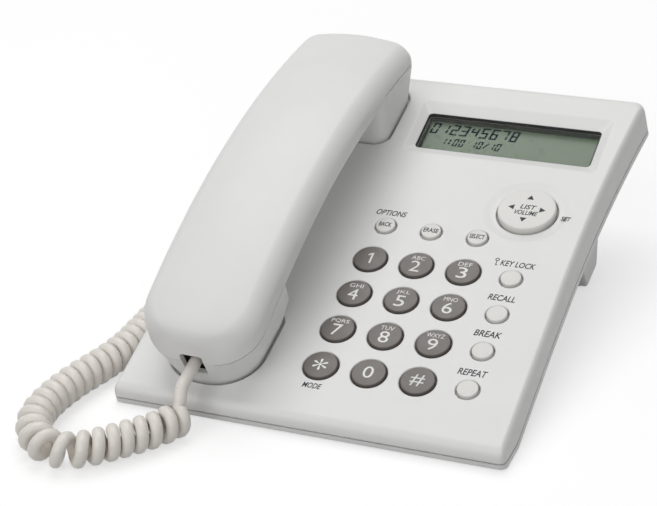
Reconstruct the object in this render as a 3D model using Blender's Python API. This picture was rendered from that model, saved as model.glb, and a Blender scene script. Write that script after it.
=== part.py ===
"""Corded desk phone: base with keypad and display, handset, curly cord.

Units are metres.  The base is drawn lying flat in its own frame: x to the right from its
middle, y to the rear from its front edge, z up from its top face.  The empty "phone" then
tilts that frame on the desk stand and sets the origin under the middle of the phone.
"""
import math

import bmesh
import bpy
from mathutils import Matrix, Vector

# General fits
FIT = 0.0003             # gap between pieces that rest on or in each other
THROUGH = 0.004          # how far a cutter runs past the face that it opens
FAR = 0.040              # how far a cutter runs past the whole base
DEEP = -0.060            # a level below every part of the base
ROUND_SHARE = 0.9        # most of a side that a round corner may take up

# Base, measured along its tilted top face
TILT = math.radians(17.5)
FLARE_START = 0.085      # from here to the rear the base grows wider
FLARE_RADIUS = 1.0
SIDE_DRAFT = math.tan(math.radians(3.0))
REAR_DRAFT = math.tan(math.radians(5.0))
EDGE_RADIUS = 0.0045
INNER_RADIUS = 0.0015
CORNER_RADIUS = 0.0050
LEAST_CORNER = 0.0011
TOP_WALL = 0.0022
SIDE_WALL = 0.0024
FLOOR_WALL = 0.0021
FRONT_HEIGHT = 0.0076    # top face to underside at the front edge
BELLY_HEIGHT = 0.0120    # top face to belly behind the toe
BELLY_START = 0.062      # where the belly begins to slope down
BELLY_SLOPE = 0.033
RIM_HEIGHT = 0.0030      # visible rim of the bottom cover
SEAM_GAP = FIT
FRONT_LIFT = 0.0008      # toe of the base above the table

# Keypad
KEY_PITCH = 0.0190
KEY_COLUMN = 0.0411      # handset's middle to the first column of keys
KEY_SIDE = 0.0210        # last column of keys to the right side
KEY_FRONT = 0.0270       # front edge to the row nearest to it
KEY_DIAMETER = 0.0134
SIDE_KEY_DIAMETER = 0.0092
SMALL_KEY_DIAMETER = 0.0088
KEY_PLAY = 0.0005        # radial gap of a key in its hole
KEY_CHAMFER = 0.0004     # edge taken off round a key's hole
KEY_PROUD = 0.0021
SMALL_KEY_PROUD = 0.0012
KEY_DOME = 0.0003
KEY_EDGE = 0.0006
KEY_FLANGE_WIDTH = 0.0011
KEY_FLANGE = 0.0010
KEY_TRAVEL = 0.0015
DIAL_KEYS = ("1", "2", "3", "4", "5", "6", "7", "8", "9", "star", "0", "hash")
SIDE_KEYS = ("lock", "flash", "pause", "redial")
SMALL_KEYS = ("exit", "clear", "enter")

# Round four-way key
NAV_SIDE = 0.0250        # from the right side
NAV_ROW = 0.0372         # from the rear row of dial keys
NAV_DIAMETER = 0.0232
NAV_PLAY = 0.00065
NAV_PROUD = 0.0016
NAV_EDGE = 0.0012
NAV_FLANGE_WIDTH = 0.0016
NAV_FLANGE = 0.0010
NAV_SWING = 0.0012       # room above and below the flange for the tilt
NAV_DISH_DIAMETER = 0.0345
NAV_DISH_DEPTH = 0.0008
NAV_DISH_SLOPE = 0.0032
NAV_PIVOT_DIAMETER = 0.0060

# Key mat and circuit board
MAT_SHEET = 0.0006
MAT_DOME_HEIGHT = 0.0006
MAT_DOME_DIAMETER = 0.0060
MAT_DOME_TOP = 0.0042
MAT_MARGIN = 0.0085      # mat beyond the key centres
BOARD = 0.0012
BOARD_MARGIN = 0.0095    # board beyond the key centres
BOARD_REAR = 0.0168      # board behind the four-way key's middle

# Display
LENS_SIDE = 0.0452       # from the right side to its middle
LENS_ROW = 0.0423        # from the four-way key
LENS_REAR = 0.0318       # from its middle to the rear edge
LENS_WIDTH = 0.0740
LENS_DEPTH = 0.0214
LENS_THICKNESS = 0.0015
LENS_CORNER = 0.0016
FRAME_SLOPE_SIDE = 0.0036
FRAME_SLOPE_FRONT = 0.0048
FRAME_SLOPE_REAR = 0.0058
FRAME_DEPTH = 0.0020
LEDGE = 0.0012           # ledge under the lens, round the opening
LEDGE_THICKNESS = 0.0014
PANEL_MARGIN = 0.0010    # display panel beyond the opening
PANEL_THICKNESS = 0.0028
FRAME_BLOCK = 0.0022     # wall left round the lens pocket

# Handset, drawn along y from its mouth end
HANDSET_SIDE = 0.0341    # left side of the base to the handset's middle
HANDSET_Y = 0.0080
HANDSET_LENGTH = 0.1830
HANDSET_REAR = 0.0043    # base behind the handset
MOUTH_WIDTH = 0.0456
EAR_WIDTH = 0.0540
HANDSET_CROWN = 0.0355   # top of the arch above the base
CROWN_SHIFT = -0.0005    # top of the arch from the middle of the handset
CROWN_RADIUS = 0.480
HANDSET_PARTING = 0.0270
PARTING_SHIFT = 0.0015
PARTING_RADIUS = 0.313
HANDSET_CAMBER = 0.0012
HANDSET_SHOULDER = 0.0105
MOUTH_END_RADIUS = 0.0165
EAR_END_RADIUS = 0.0160
END_TOP_RADIUS = 0.0110
HANDSET_WALL = 0.0022
GRIP_DEPTH = 0.0080      # grip below the parting line
GRIP_INSET = 0.0002
GRIP_ROUND = 0.0060
CUP_INSET = 0.0002
CUP_SINK = 0.0030        # how far the cups sit in the base
MOUTH_CUP_LENGTH = 0.0400
MOUTH_CUP_TAPER = 0.0040
MOUTH_CUP_LEAN = 0.0027
EAR_CUP_LENGTH = 0.0405
EAR_CUP_TAPER = 0.0020
EAR_CUP_LEAN = 0.0056    # the ear end leans out over the base
CUP_INNER_CORNER = 0.0060
WELL_GAP = 0.0010
WELL_FLOOR = 0.0020
SLOT_WIDTH = 0.0014
SLOT_LENGTH = 0.0110
SLOT_PITCH = 0.0030
SLOTS = 5

# Handset insides
RECEIVER_DIAMETER = 0.0260
RECEIVER_HEIGHT = 0.0070
RECEIVER_BACK = 0.0173
RECEIVER_RIM = 0.0035
MICROPHONE_DIAMETER = 0.0096
MICROPHONE_HEIGHT = 0.0050
MICROPHONE_Y = 0.0315
WEIGHT_LENGTH = 0.0400
WEIGHT_WIDTH = 0.0240
WEIGHT_HEIGHT = 0.0040

# Modular jacks and plugs
PLUG_WIDTH = 0.0062
PLUG_HEIGHT = 0.0052
PLUG_LENGTH = 0.0110
JACK_WALL = 0.0010
JACK_DEPTH = 0.0145
NOTCH_WIDTH = 0.0092
NOTCH_DEPTH = 0.0085
NOTCH_LOW = 0.0060
NOTCH_HIGH = 0.0165
HANDSET_JACK_Z = 0.0108
STUB_REACH = 0.0060      # strain relief past the end of the handset
BASE_JACK_Y = 0.1120
BASE_JACK_Z = -0.0068
BASE_STUB = 0.0015
BASE_JACK_SET = 0.0050   # how deep the plug sits in the side wall
LINE_JACK_X = 0.0
LINE_JACK_Z = -0.0090
LINE_JACK_WIDTH = 0.0100
LINE_JACK_HEIGHT = 0.0068

# Hook under the ear cup
HOOK_WIDTH = 0.0080
HOOK_DEPTH = 0.0120
HOOK_RISE = 0.0030
HOOK_FLANGE = 0.0010
HOOK_FLANGE_WIDTH = 0.0015
HOOK_PAD_Z = -0.0130
HOOK_PAD_WIDTH = 0.0270
HOOK_PAD_DEPTH = 0.0160
SPRING_DIAMETER = 0.0070
SPRING_WIRE = 0.0007
SPRING_TURNS = 2
SWITCH_WIDTH = 0.0060
SWITCH_DEPTH = 0.0100
SWITCH_HEIGHT = 0.0050
HANGER_WIDTH = 0.0120
HANGER_DEPTH = 0.0024
HANGER_HEIGHT = 0.0050
HANGER_GAP = 0.0050      # from the ear well to the hanger slot

# Ringer
SPEAKER_SIDE = 0.0336    # from the right side
SPEAKER_REAR = 0.0233    # from the rear edge
SPEAKER_DIAMETER = 0.0300
SPEAKER_HEIGHT = 0.0035
SPEAKER_RIM = 0.0012
SPEAKER_CONE = 0.0021
SPEAKER_MAGNET = 0.0150
SPEAKER_SEAT_Z = -0.0127
SPEAKER_RING = 0.0020

# Desk stand
STAND_SIDE = 0.0061      # from the sides of the base
STAND_REAR = 0.0443      # from the rear edge
STAND_DEPTH = 0.0330     # where it meets the base
STAND_REAR_DROP = 0.0400
STAND_FRONT_RAKE = 0.0120
STAND_REAR_RAKE = 0.0050
STAND_SOLE_RISE = 0.0024 # rear end of the sole lies higher above the table
STAND_WALL = 0.0026
STAND_EDGE = 0.0020
STAND_TAB_X = 0.0400
STAND_TAB_WIDTH = 0.0120
STAND_TAB_DEPTH = 0.0030
STAND_TAB_HEIGHT = 0.0055

# Feet
FOOT_DIAMETER = 0.0090
FOOT_SEAT = 0.0009
FRONT_FOOT_SIDE = 0.0166
FRONT_FOOT_Y = 0.0070
STAND_FOOT_SIDE = 0.0055
STAND_FOOT_PROUD = 0.0014

# Screws
SCREW_SIDE = 0.0066
SCREW_FRONT = 0.0580     # from the front edge
SCREW_REAR = 0.0553      # from the rear edge
SCREW_SHANK = 0.0026
SCREW_HEAD = 0.0054
SCREW_HEAD_HEIGHT = 0.0012
SCREW_HEAD_EDGE = 0.0005
SCREW_LENGTH = 0.0060
SCREW_BOSS = 0.0084
SCREW_SHELF = 0.0010     # material between screw head and seam

# Curly cord, its route on the table written in the finished phone's own frame
CORD_DIAMETER = 0.0044
COIL_RADIUS = 0.0047     # middle of the wire to the middle of the coil
COIL_TURNS = 28.5
COIL_POINTS = 10         # points for each turn
AXIS_SPACING = 0.0005
HEAD_SPACING = 0.0050
TAIL_SPACING = 0.0063

SMOOTH_ANGLE = math.radians(35.0)

FINISHES = {
    "white_plastic": ((0.80, 0.80, 0.79, 1.0), 0.42, 0.0),
    "white_key": ((0.78, 0.77, 0.74, 1.0), 0.40, 0.0),
    "grey_key": ((0.17, 0.16, 0.15, 1.0), 0.45, 0.0),
    "clear_lens": ((0.75, 0.80, 0.75, 1.0), 0.08, 0.0),
    "display_glass": ((0.24, 0.33, 0.22, 1.0), 0.20, 0.0),
    "circuit_board": ((0.05, 0.22, 0.09, 1.0), 0.50, 0.0),
    "key_mat": ((0.35, 0.36, 0.36, 1.0), 0.70, 0.0),
    "foot_rubber": ((0.06, 0.06, 0.06, 1.0), 0.80, 0.0),
    "dark_plastic": ((0.05, 0.05, 0.05, 1.0), 0.50, 0.0),
    "steel": ((0.60, 0.60, 0.60, 1.0), 0.35, 1.0),
    "cord_vinyl": ((0.68, 0.64, 0.57, 1.0), 0.45, 0.0),
    "clear_plug": ((0.70, 0.70, 0.68, 1.0), 0.20, 0.0),
}


def clear_scene():
    """Remove every object, so that the script can run in any file."""
    for thing in list(bpy.data.objects):
        bpy.data.objects.remove(thing, do_unlink=True)


def finish(slot):
    """The named finish as a material, made once."""
    material = bpy.data.materials.get(slot)
    if material is None:
        colour, roughness, metallic = FINISHES[slot]
        material = bpy.data.materials.new(slot)
        material.use_nodes = True
        shader = material.node_tree.nodes["Principled BSDF"]
        shader.inputs["Base Color"].default_value = colour
        shader.inputs["Roughness"].default_value = roughness
        shader.inputs["Metallic"].default_value = metallic
        material.diffuse_color = colour
    return material


def empty(name, parent=None, location=(0, 0, 0)):
    """An axis that pieces hang on."""
    thing = bpy.data.objects.new(name, None)
    bpy.context.scene.collection.objects.link(thing)
    thing.parent = parent
    thing.location = location
    return thing


def solid(bm, name="tool"):
    """A bmesh as an object with its faces pointing out."""
    bmesh.ops.recalc_face_normals(bm, faces=bm.faces[:])
    mesh = bpy.data.meshes.new(name)
    bm.to_mesh(mesh)
    bm.free()
    thing = bpy.data.objects.new(name, mesh)
    bpy.context.scene.collection.objects.link(thing)
    return thing


def combine(body, operation, tools):
    """Apply one exact boolean for each tool, then remove the tools."""
    for tool in tools:
        modifier = body.modifiers.new("combine", "BOOLEAN")
        modifier.operation = operation
        modifier.solver = "EXACT"
        modifier.object = tool
        graph = bpy.context.evaluated_depsgraph_get()
        result = bpy.data.meshes.new_from_object(body.evaluated_get(graph))
        body.modifiers.clear()
        old = body.data
        body.data = result
        bpy.data.meshes.remove(old)
        bpy.data.objects.remove(tool, do_unlink=True)
    return body


def cut(body, *tools):
    return combine(body, "DIFFERENCE", tools)


def join(body, *tools):
    return combine(body, "UNION", tools)


def piece(name, body, slot, parent, origin=(0, 0, 0)):
    """Name a finished body, give it its finish and hang it on its axis."""
    body.name = name
    body.data.name = name
    body.data.transform(Matrix.Translation(-Vector(origin)))
    body.location = origin
    body.parent = parent
    body.data.materials.clear()
    body.data.materials.append(finish(slot))
    body.data.shade_smooth()
    body.data.set_sharp_from_angle(angle=SMOOTH_ANGLE)
    return body


def rounded(x0, x1, y0, y1, radii, steps=5):
    """A rectangle with round corners; radii run front left, front right, rear right, rear left."""
    points = []
    corners = ((x0, y0, 1, 1, 180), (x1, y0, -1, 1, 270), (x1, y1, -1, -1, 0), (x0, y1, 1, -1, 90))
    for (x, y, inward_x, inward_y, start), radius in zip(corners, radii):
        for step in range(steps + 1):
            angle = math.radians(start + 90.0 * step / steps)
            points.append((x + inward_x * radius + radius * math.cos(angle),
                           y + inward_y * radius + radius * math.sin(angle)))
    return points


def loft(rings):
    """A solid through rings of as many points each, with flat ends."""
    bm = bmesh.new()
    loops = [[bm.verts.new(point) for point in ring] for ring in rings]
    for low, high in zip(loops, loops[1:]):
        for index in range(len(low)):
            after = (index + 1) % len(low)
            bm.faces.new((low[index], low[after], high[after], high[index]))
    bm.faces.new(loops[0])
    bm.faces.new(loops[-1])
    return bm


def prism(outline, z0, z1):
    """A flat outline run up from z0 to z1."""
    return loft([[(x, y, z) for x, y in outline] for z in (z0, z1)])


def block(x0, x1, y0, y1, z0, z1):
    return prism([(x0, y0), (x1, y0), (x1, y1), (x0, y1)], z0, z1)


def slab(side, x0, x1):
    """An outline seen from the side, in y and z, run across from x0 to x1."""
    return loft([[(x, y, z) for y, z in side] for x in (x0, x1)])


def turned(profile, centre, steps):
    """A profile of radius and height turned about an upright axis."""
    bm = bmesh.new()
    loops = []
    for radius, height in profile:
        if radius == 0:
            loops.append([bm.verts.new((centre[0], centre[1], height))])
            continue
        loop = []
        for step in range(steps):
            angle = math.tau * step / steps
            loop.append(bm.verts.new((centre[0] + radius * math.cos(angle),
                                      centre[1] + radius * math.sin(angle), height)))
        loops.append(loop)
    for low, high in zip(loops, loops[1:]):
        for step in range(steps):
            after = (step + 1) % steps
            corners = [low[step % len(low)], low[after % len(low)],
                       high[after % len(high)], high[step % len(high)]]
            bm.faces.new(list(dict.fromkeys(corners)))
    return bm


def disc(diameter, z0, z1, centre, steps=24):
    radius = diameter / 2
    return turned([(0, z0), (radius, z0), (radius, z1), (0, z1)], centre, steps)


def moved(bm, offset):
    bmesh.ops.translate(bm, verts=bm.verts[:], vec=offset)
    return bm


def merged(solids):
    """Separate bmeshes as one, for a tool with several bodies."""
    whole = bmesh.new()
    for bm in solids:
        mesh = bpy.data.meshes.new("part_of_tool")
        bm.to_mesh(mesh)
        bm.free()
        whole.from_mesh(mesh)
        bpy.data.meshes.remove(mesh)
    return whole


def toe_end():
    """Where the toe, which lies along the table, meets the belly."""
    return (BELLY_HEIGHT - FRONT_HEIGHT) / math.tan(TILT)


def belly(y, lift=0.0):
    """Height of the base's underside, raised by lift."""
    if y < toe_end():
        return lift - FRONT_HEIGHT - y * math.tan(TILT)
    return lift - BELLY_HEIGHT - max(0.0, y - BELLY_START) * BELLY_SLOPE


def table(y):
    """Height of the table below the tilted base."""
    return -FRONT_HEIGHT - FRONT_LIFT / math.cos(TILT) - y * math.tan(TILT)


def beyond_belly(lift, height):
    """All that lies between the raised underside and a level above or below it."""
    line = [(y, belly(y, lift)) for y in (-THROUGH, toe_end(), BELLY_START, BASE_DEPTH + FAR)]
    side = [(-FAR, line[0][1])] + line + [(line[-1][0], height), (-FAR, height)]
    return slab(side, -BASE_WIDTH, BASE_WIDTH)


def half_width(y):
    """Half width of the base at its top face."""
    return BASE_WIDTH / 2 + max(0.0, y - FLARE_START) ** 2 / (2 * FLARE_RADIUS)


def base_ring(z, draw_in, corner, arc_steps=5, flank_steps=4):
    """The base's outline at a level, moved inwards."""
    grow = -SIDE_DRAFT * z - draw_in
    rear = BASE_DEPTH - REAR_DRAFT * z - draw_in
    middle = rear - corner
    lean = math.atan((middle - FLARE_START) / FLARE_RADIUS)
    half = []
    for step in range(arc_steps + 1):
        angle = math.radians(90.0 * step / arc_steps - 90.0)
        half.append((half_width(0.0) + grow - corner * (1 - math.cos(angle)),
                     -grow + corner * (1 + math.sin(angle))))
    for step in range(flank_steps):
        y = FLARE_START + (middle - corner * math.sin(lean) - FLARE_START) * step / flank_steps
        half.append((half_width(y) + grow, y))
    centre = half_width(middle) + grow - corner / math.cos(lean)
    for step in range(arc_steps + 1):
        angle = (math.pi / 2 + lean) * step / arc_steps - lean
        half.append((centre + corner * math.cos(angle), middle + corner * math.sin(angle)))
    return [(x, y, z) for x, y in half + [(-x, y) for x, y in reversed(half)]]


def base_form(inset, top, bottom, radius, arc_steps):
    """The drafted base with a rounded top edge, drawn in by inset."""
    levels = []
    for step in range(arc_steps + 1):
        angle = math.radians(90.0 * step / arc_steps)
        levels.append((top - radius * (1 - math.cos(angle)), radius * (1 - math.sin(angle))))
    levels.append((bottom, 0.0))
    rings = []
    for z, draw_in in levels:
        corner = max(CORNER_RADIUS - inset - draw_in, LEAST_CORNER)
        rings.append(base_ring(z, inset + draw_in, corner))
    return loft(rings)


def fillet(outline, radii, steps=3):
    """Round the corners of a convex outline."""
    points = []
    count = len(outline)
    for index, radius in enumerate(radii):
        corner = Vector(outline[index])
        to_last = (Vector(outline[index - 1]) - corner).normalized()
        to_next = (Vector(outline[(index + 1) % count]) - corner).normalized()
        if radius == 0:
            points.append(tuple(corner))
            continue
        half = to_last.angle(to_next) / 2
        reach = radius / math.tan(half)
        centre = corner + (to_last + to_next).normalized() * radius / math.sin(half)
        start = corner + to_last * reach - centre
        end = corner + to_next * reach - centre
        for step in range(steps + 1):
            arm = start.lerp(end, step / steps).normalized() * radius
            points.append(tuple(centre + arm))
    return points


def drawn_in(outline, distance):
    """A convex outline, run counterclockwise, with every side moved inwards."""
    lines = []
    count = len(outline)
    for index in range(count):
        start = Vector(outline[index])
        along = (Vector(outline[(index + 1) % count]) - start).normalized()
        inward = Vector((-along.y, along.x))
        lines.append((start + inward * distance, along))
    corners = []
    for index in range(count):
        (p, d), (q, e) = lines[index - 1], lines[index]
        share = (q - p).cross(e) / d.cross(e)
        corners.append(tuple(p + d * share))
    return corners


def rod(diameter, start, end, steps=10):
    """A straight round rod along x or y."""
    start, end = Vector(start), Vector(end)
    along = (end - start).normalized()
    side = along.cross(Vector((0, 0, 1)))
    rings = []
    for centre in (start, end):
        ring = []
        for step in range(steps):
            angle = math.tau * step / steps
            arm = side * math.cos(angle) + Vector((0, 0, 1)) * math.sin(angle)
            ring.append(centre + arm * diameter / 2)
        rings.append(ring)
    return loft(rings)


# Places across the base, which is as wide as its columns
BASE_WIDTH = HANDSET_SIDE + KEY_COLUMN + 3 * KEY_PITCH + KEY_SIDE
HANDSET_X = HANDSET_SIDE - BASE_WIDTH / 2
KEY_1_X = HANDSET_X + KEY_COLUMN
NAV_X = BASE_WIDTH / 2 - NAV_SIDE
LENS_X = BASE_WIDTH / 2 - LENS_SIDE
SPEAKER_X = BASE_WIDTH / 2 - SPEAKER_SIDE
STAND_WIDTH = BASE_WIDTH - 2 * STAND_SIDE
FRONT_FOOT_X = BASE_WIDTH / 2 - FRONT_FOOT_SIDE
STAND_FOOT_X = STAND_WIDTH / 2 - STAND_FOOT_SIDE
SCREW_X = BASE_WIDTH / 2 - SCREW_SIDE

# Places along the base, which is as deep as the longer of its columns, display or handset
KEY_1_Y = KEY_FRONT + 3 * KEY_PITCH
NAV_Y = KEY_1_Y + NAV_ROW
LENS_Y = NAV_Y + LENS_ROW
CROWN_MIDDLE = HANDSET_LENGTH / 2 + CROWN_SHIFT
PARTING_MIDDLE = HANDSET_LENGTH / 2 + PARTING_SHIFT
BASE_DEPTH = max(LENS_Y + LENS_REAR, HANDSET_Y + HANDSET_LENGTH + HANDSET_REAR)
BOARD_REAR_Y = NAV_Y + BOARD_REAR
SPEAKER_Y = BASE_DEPTH - SPEAKER_REAR
STAND_REAR_TOP = BASE_DEPTH - STAND_REAR
STAND_FRONT_TOP = STAND_REAR_TOP - STAND_DEPTH
STAND_FOOT_FRONT = STAND_FRONT_TOP + STAND_FRONT_RAKE
STAND_FOOT_REAR = STAND_REAR_TOP - STAND_REAR_RAKE
SCREW_YS = (SCREW_FRONT, BASE_DEPTH - SCREW_REAR)

# Levels in the base, from the top face down
KEY_FLANGE_TOP = -TOP_WALL - FIT
KEY_BOTTOM = KEY_FLANGE_TOP - KEY_FLANGE
MAT_TOP = KEY_BOTTOM - KEY_TRAVEL - FIT - MAT_DOME_HEIGHT
BOARD_TOP = MAT_TOP - MAT_SHEET - FIT
LENS_SEAT = -FRAME_DEPTH - LENS_THICKNESS - FIT
LEDGE_BOTTOM = LENS_SEAT - LEDGE_THICKNESS
WELL_BOTTOM = -CUP_SINK - FIT
HOOK_FLANGE_TOP = WELL_BOTTOM - WELL_FLOOR - FIT - HOOK_RISE
HANDSET_PLACE = Vector((HANDSET_X, HANDSET_Y, 0))


def key_places():
    """Every push key as name, x, y, diameter, height and number of sides."""
    places = []
    for index, label in enumerate(DIAL_KEYS):
        x = KEY_1_X + KEY_PITCH * (index % 3)
        y = KEY_1_Y - KEY_PITCH * (index // 3)
        places.append((f"key_{label}", x, y, KEY_DIAMETER, KEY_PROUD, 18, "grey_key"))
    for index, label in enumerate(SIDE_KEYS):
        x = KEY_1_X + KEY_PITCH * 3
        y = KEY_1_Y - KEY_PITCH * index
        places.append((f"{label}_key", x, y, SIDE_KEY_DIAMETER, SMALL_KEY_PROUD, 14, "white_key"))
    for index, label in enumerate(SMALL_KEYS):
        x = KEY_1_X + KEY_PITCH * index
        y = KEY_1_Y + KEY_PITCH
        places.append((f"{label}_key", x, y, SMALL_KEY_DIAMETER, SMALL_KEY_PROUD, 14, "white_key"))
    return places


def screw_places():
    return [(side * SCREW_X, y) for y in SCREW_YS for side in (-1, 1)]


# Handset form, in its own frame

def handset_half(y):
    """Half width of the handset before its ends are rounded."""
    return (MOUTH_WIDTH + (EAR_WIDTH - MOUTH_WIDTH) * y / HANDSET_LENGTH) / 2


def crown(y):
    return HANDSET_CROWN - (y - CROWN_MIDDLE) ** 2 / (2 * CROWN_RADIUS)


def parting(y):
    return HANDSET_PARTING - (y - PARTING_MIDDLE) ** 2 / (2 * PARTING_RADIUS)


def end_drop(distance, radius):
    """How far a round end falls away at a distance from its tip."""
    if distance >= radius:
        return 0.0
    return radius - math.sqrt(radius ** 2 - (radius - max(distance, 0.0)) ** 2)


def handset_stations(inset, arc_steps=4, straight_steps=9):
    """Places along the handset, closer together round its ends."""
    ends = []
    for radius in (MOUTH_END_RADIUS, EAR_END_RADIUS):
        arc = []
        for step in range(arc_steps):
            angle = math.radians(90.0 * step / arc_steps)
            arc.append(inset + (radius - inset) * (1 - math.cos(angle)))
        ends.append(arc)
    straight = []
    for step in range(straight_steps + 1):
        run = HANDSET_LENGTH - MOUTH_END_RADIUS - EAR_END_RADIUS
        straight.append(MOUTH_END_RADIUS + run * step / straight_steps)
    return ends[0] + straight + [HANDSET_LENGTH - y for y in reversed(ends[1])]


def handset_section(y, inset):
    """Half width and end roundings of the handset at y, with its wall drawn in."""
    at_mouth = y < HANDSET_LENGTH / 2
    tip = 0.0 if at_mouth else HANDSET_LENGTH
    distance = abs(y - tip) - inset
    radius = MOUTH_END_RADIUS if at_mouth else EAR_END_RADIUS
    half = handset_half(y) - inset - end_drop(distance, radius - inset)
    top_radius = min(END_TOP_RADIUS, (crown(tip) - parting(tip)) * ROUND_SHARE)
    fall = end_drop(distance, top_radius - inset)
    return half, fall


def upper_form(inset, below, arc_steps=4):
    """The top half of the handset from the parting line up; below opens it downwards."""
    rings = []
    for y in handset_stations(inset):
        half, fall = handset_section(y, inset)
        low = parting(y) - below
        high = crown(y) - inset - fall
        radius = min(HANDSET_SHOULDER - inset, half * ROUND_SHARE, (high - parting(y)) * ROUND_SHARE)
        arc = []
        for step in range(arc_steps + 1):
            angle = math.radians(90.0 * step / arc_steps)
            arc.append((half - radius * (1 - math.cos(angle)), high - radius * (1 - math.sin(angle))))
        side = [(half, low)] + arc + [((half - radius) / 2, high)]
        outline = side + [(-x, z) for x, z in reversed(side)]
        ring = []
        for x, z in outline:
            rise = max(0.0, (z - parting(y)) / (high - parting(y)))
            ring.append((x, y, z + HANDSET_CAMBER * rise * (1 - (x / half) ** 2)))
        rings.append(ring)
    return loft(rings)


def grip_form(inset, arc_steps=3):
    """The bar of the bottom half, below the parting line."""
    rings = []
    for y in handset_stations(GRIP_INSET + inset):
        half, _ = handset_section(y, GRIP_INSET + inset)
        low = parting(y) - GRIP_DEPTH + inset
        radius = min(GRIP_ROUND - inset, half * ROUND_SHARE)
        arc = []
        for step in range(arc_steps + 1):
            angle = math.radians(90.0 * step / arc_steps)
            arc.append((half - radius * (1 - math.cos(angle)), low + radius * (1 - math.sin(angle))))
        side = [(half, parting(y) + THROUGH)] + arc
        outline = side + [(-x, z) for x, z in reversed(side)]
        rings.append([(x, y, z) for x, z in outline])
    return loft(rings)


def cup_tip(end):
    """Height of the parting line at the end of a cup."""
    return parting(0.0 if end == "mouth" else HANDSET_LENGTH)


def cup_outline(end, z, inset):
    """A cup's outline at height z: it tapers in towards the base."""
    fall = max(0.0, 1 - (z + CUP_SINK) / (cup_tip(end) + CUP_SINK))
    inner = max(CUP_INNER_CORNER - inset, FIT)
    if end == "mouth":
        half = handset_half(0.0) - CUP_INSET - MOUTH_CUP_TAPER * fall - inset
        outer = max(MOUTH_END_RADIUS - CUP_INSET - inset, FIT)
        front = CUP_INSET + MOUTH_CUP_LEAN * fall + inset
        return rounded(-half, half, front, MOUTH_CUP_LENGTH - inset, (outer, outer, inner, inner), steps=6)
    start = HANDSET_LENGTH - EAR_CUP_LENGTH
    half = handset_half(start) - CUP_INSET - EAR_CUP_TAPER * fall - inset
    outer = max(EAR_END_RADIUS - CUP_INSET - inset, FIT)
    rear = HANDSET_LENGTH - CUP_INSET - EAR_CUP_LEAN * fall - inset
    return rounded(-half, half, start + inset, rear, (inner, inner, outer, outer), steps=6)


def cup_form(end, inset, low, edge):
    """A cup from low up past the parting line, with its bottom edge taken off."""
    rings = []
    for z, draw_in in ((low, edge), (low + edge, 0.0), (cup_tip(end), 0.0), (HANDSET_PARTING, 0.0)):
        rings.append([(x, y, z) for x, y in cup_outline(end, z, inset + draw_in)])
    return loft(rings)


def above_parting(lift):
    """All that lies above the handset's parting line moved by lift."""
    past = THROUGH + EAR_CUP_LEAN
    stations = [-past] + handset_stations(0.0) + [HANDSET_LENGTH + past]
    line = [(y, parting(y) + lift) for y in stations]
    top = HANDSET_CROWN + THROUGH
    side = line + [(line[-1][0], top), (line[0][0], top)]
    return slab(side, -EAR_WIDTH, EAR_WIDTH)


def well(end, growth, top, bottom):
    """The recess in the base that a cup sits in, in the base's frame."""
    return moved(prism(cup_outline(end, 0.0, -growth), bottom, top), HANDSET_PLACE)


def cup_middle(end):
    """Middle of a cup's bottom, along the handset."""
    rows = [y for _, y in cup_outline(end, -CUP_SINK, 0.0)]
    return (min(rows) + max(rows)) / 2


def slots(x, y, z0, z1, count):
    """A row of sound slots."""
    rows = []
    for index in range(count):
        middle = y + (index - (count - 1) / 2) * SLOT_PITCH
        rows.append(block(x - SLOT_LENGTH / 2, x + SLOT_LENGTH / 2,
                          middle - SLOT_WIDTH / 2, middle + SLOT_WIDTH / 2, z0, z1))
    return merged(rows)


# Pieces of the base

def lens_outline(growth):
    return rounded(LENS_X - LENS_WIDTH / 2 - growth, LENS_X + LENS_WIDTH / 2 + growth,
                   LENS_Y - LENS_DEPTH / 2 - growth, LENS_Y + LENS_DEPTH / 2 + growth,
                   (max(LENS_CORNER + growth, FIT),) * 4, steps=3)


def frame_slope():
    """The sloped frame that leads down to the lens."""
    rings = []
    for z in (-FRAME_DEPTH, THROUGH):
        rise = (z + FRAME_DEPTH) / FRAME_DEPTH
        x0 = LENS_X - LENS_WIDTH / 2 - FIT - FRAME_SLOPE_SIDE * rise
        x1 = LENS_X + LENS_WIDTH / 2 + FIT + FRAME_SLOPE_SIDE * rise
        y0 = LENS_Y - LENS_DEPTH / 2 - FIT - FRAME_SLOPE_FRONT * rise
        y1 = LENS_Y + LENS_DEPTH / 2 + FIT + FRAME_SLOPE_REAR * rise
        rings.append([(x, y, z) for x, y in rounded(x0, x1, y0, y1, (LENS_CORNER + FIT,) * 4, steps=3)])
    return loft(rings)


def key_hole(x, y, diameter, steps):
    radius = diameter / 2 + KEY_PLAY
    low = -TOP_WALL - THROUGH
    return turned([(0, low), (radius, low), (radius, -KEY_CHAMFER), (radius + 2 * KEY_CHAMFER, KEY_CHAMFER),
                   (0, KEY_CHAMFER)], (x, y), steps)


def nav_hole(steps=28):
    hole = NAV_DIAMETER / 2 + NAV_PLAY
    dish = NAV_DISH_DIAMETER / 2
    flat = dish - NAV_DISH_SLOPE
    lift = THROUGH * NAV_DISH_SLOPE / NAV_DISH_DEPTH
    return turned([(0, -TOP_WALL - THROUGH), (hole, -TOP_WALL - THROUGH), (hole, -NAV_DISH_DEPTH),
                   (flat, -NAV_DISH_DEPTH), (dish + lift, THROUGH), (0, THROUGH)], (NAV_X, NAV_Y), steps)


def hook_outline(growth):
    y = HANDSET_Y + cup_middle("ear")
    return (HANDSET_X - HOOK_WIDTH / 2 - growth, HANDSET_X + HOOK_WIDTH / 2 + growth,
            y - HOOK_DEPTH / 2 - growth, y + HOOK_DEPTH / 2 + growth)


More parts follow.
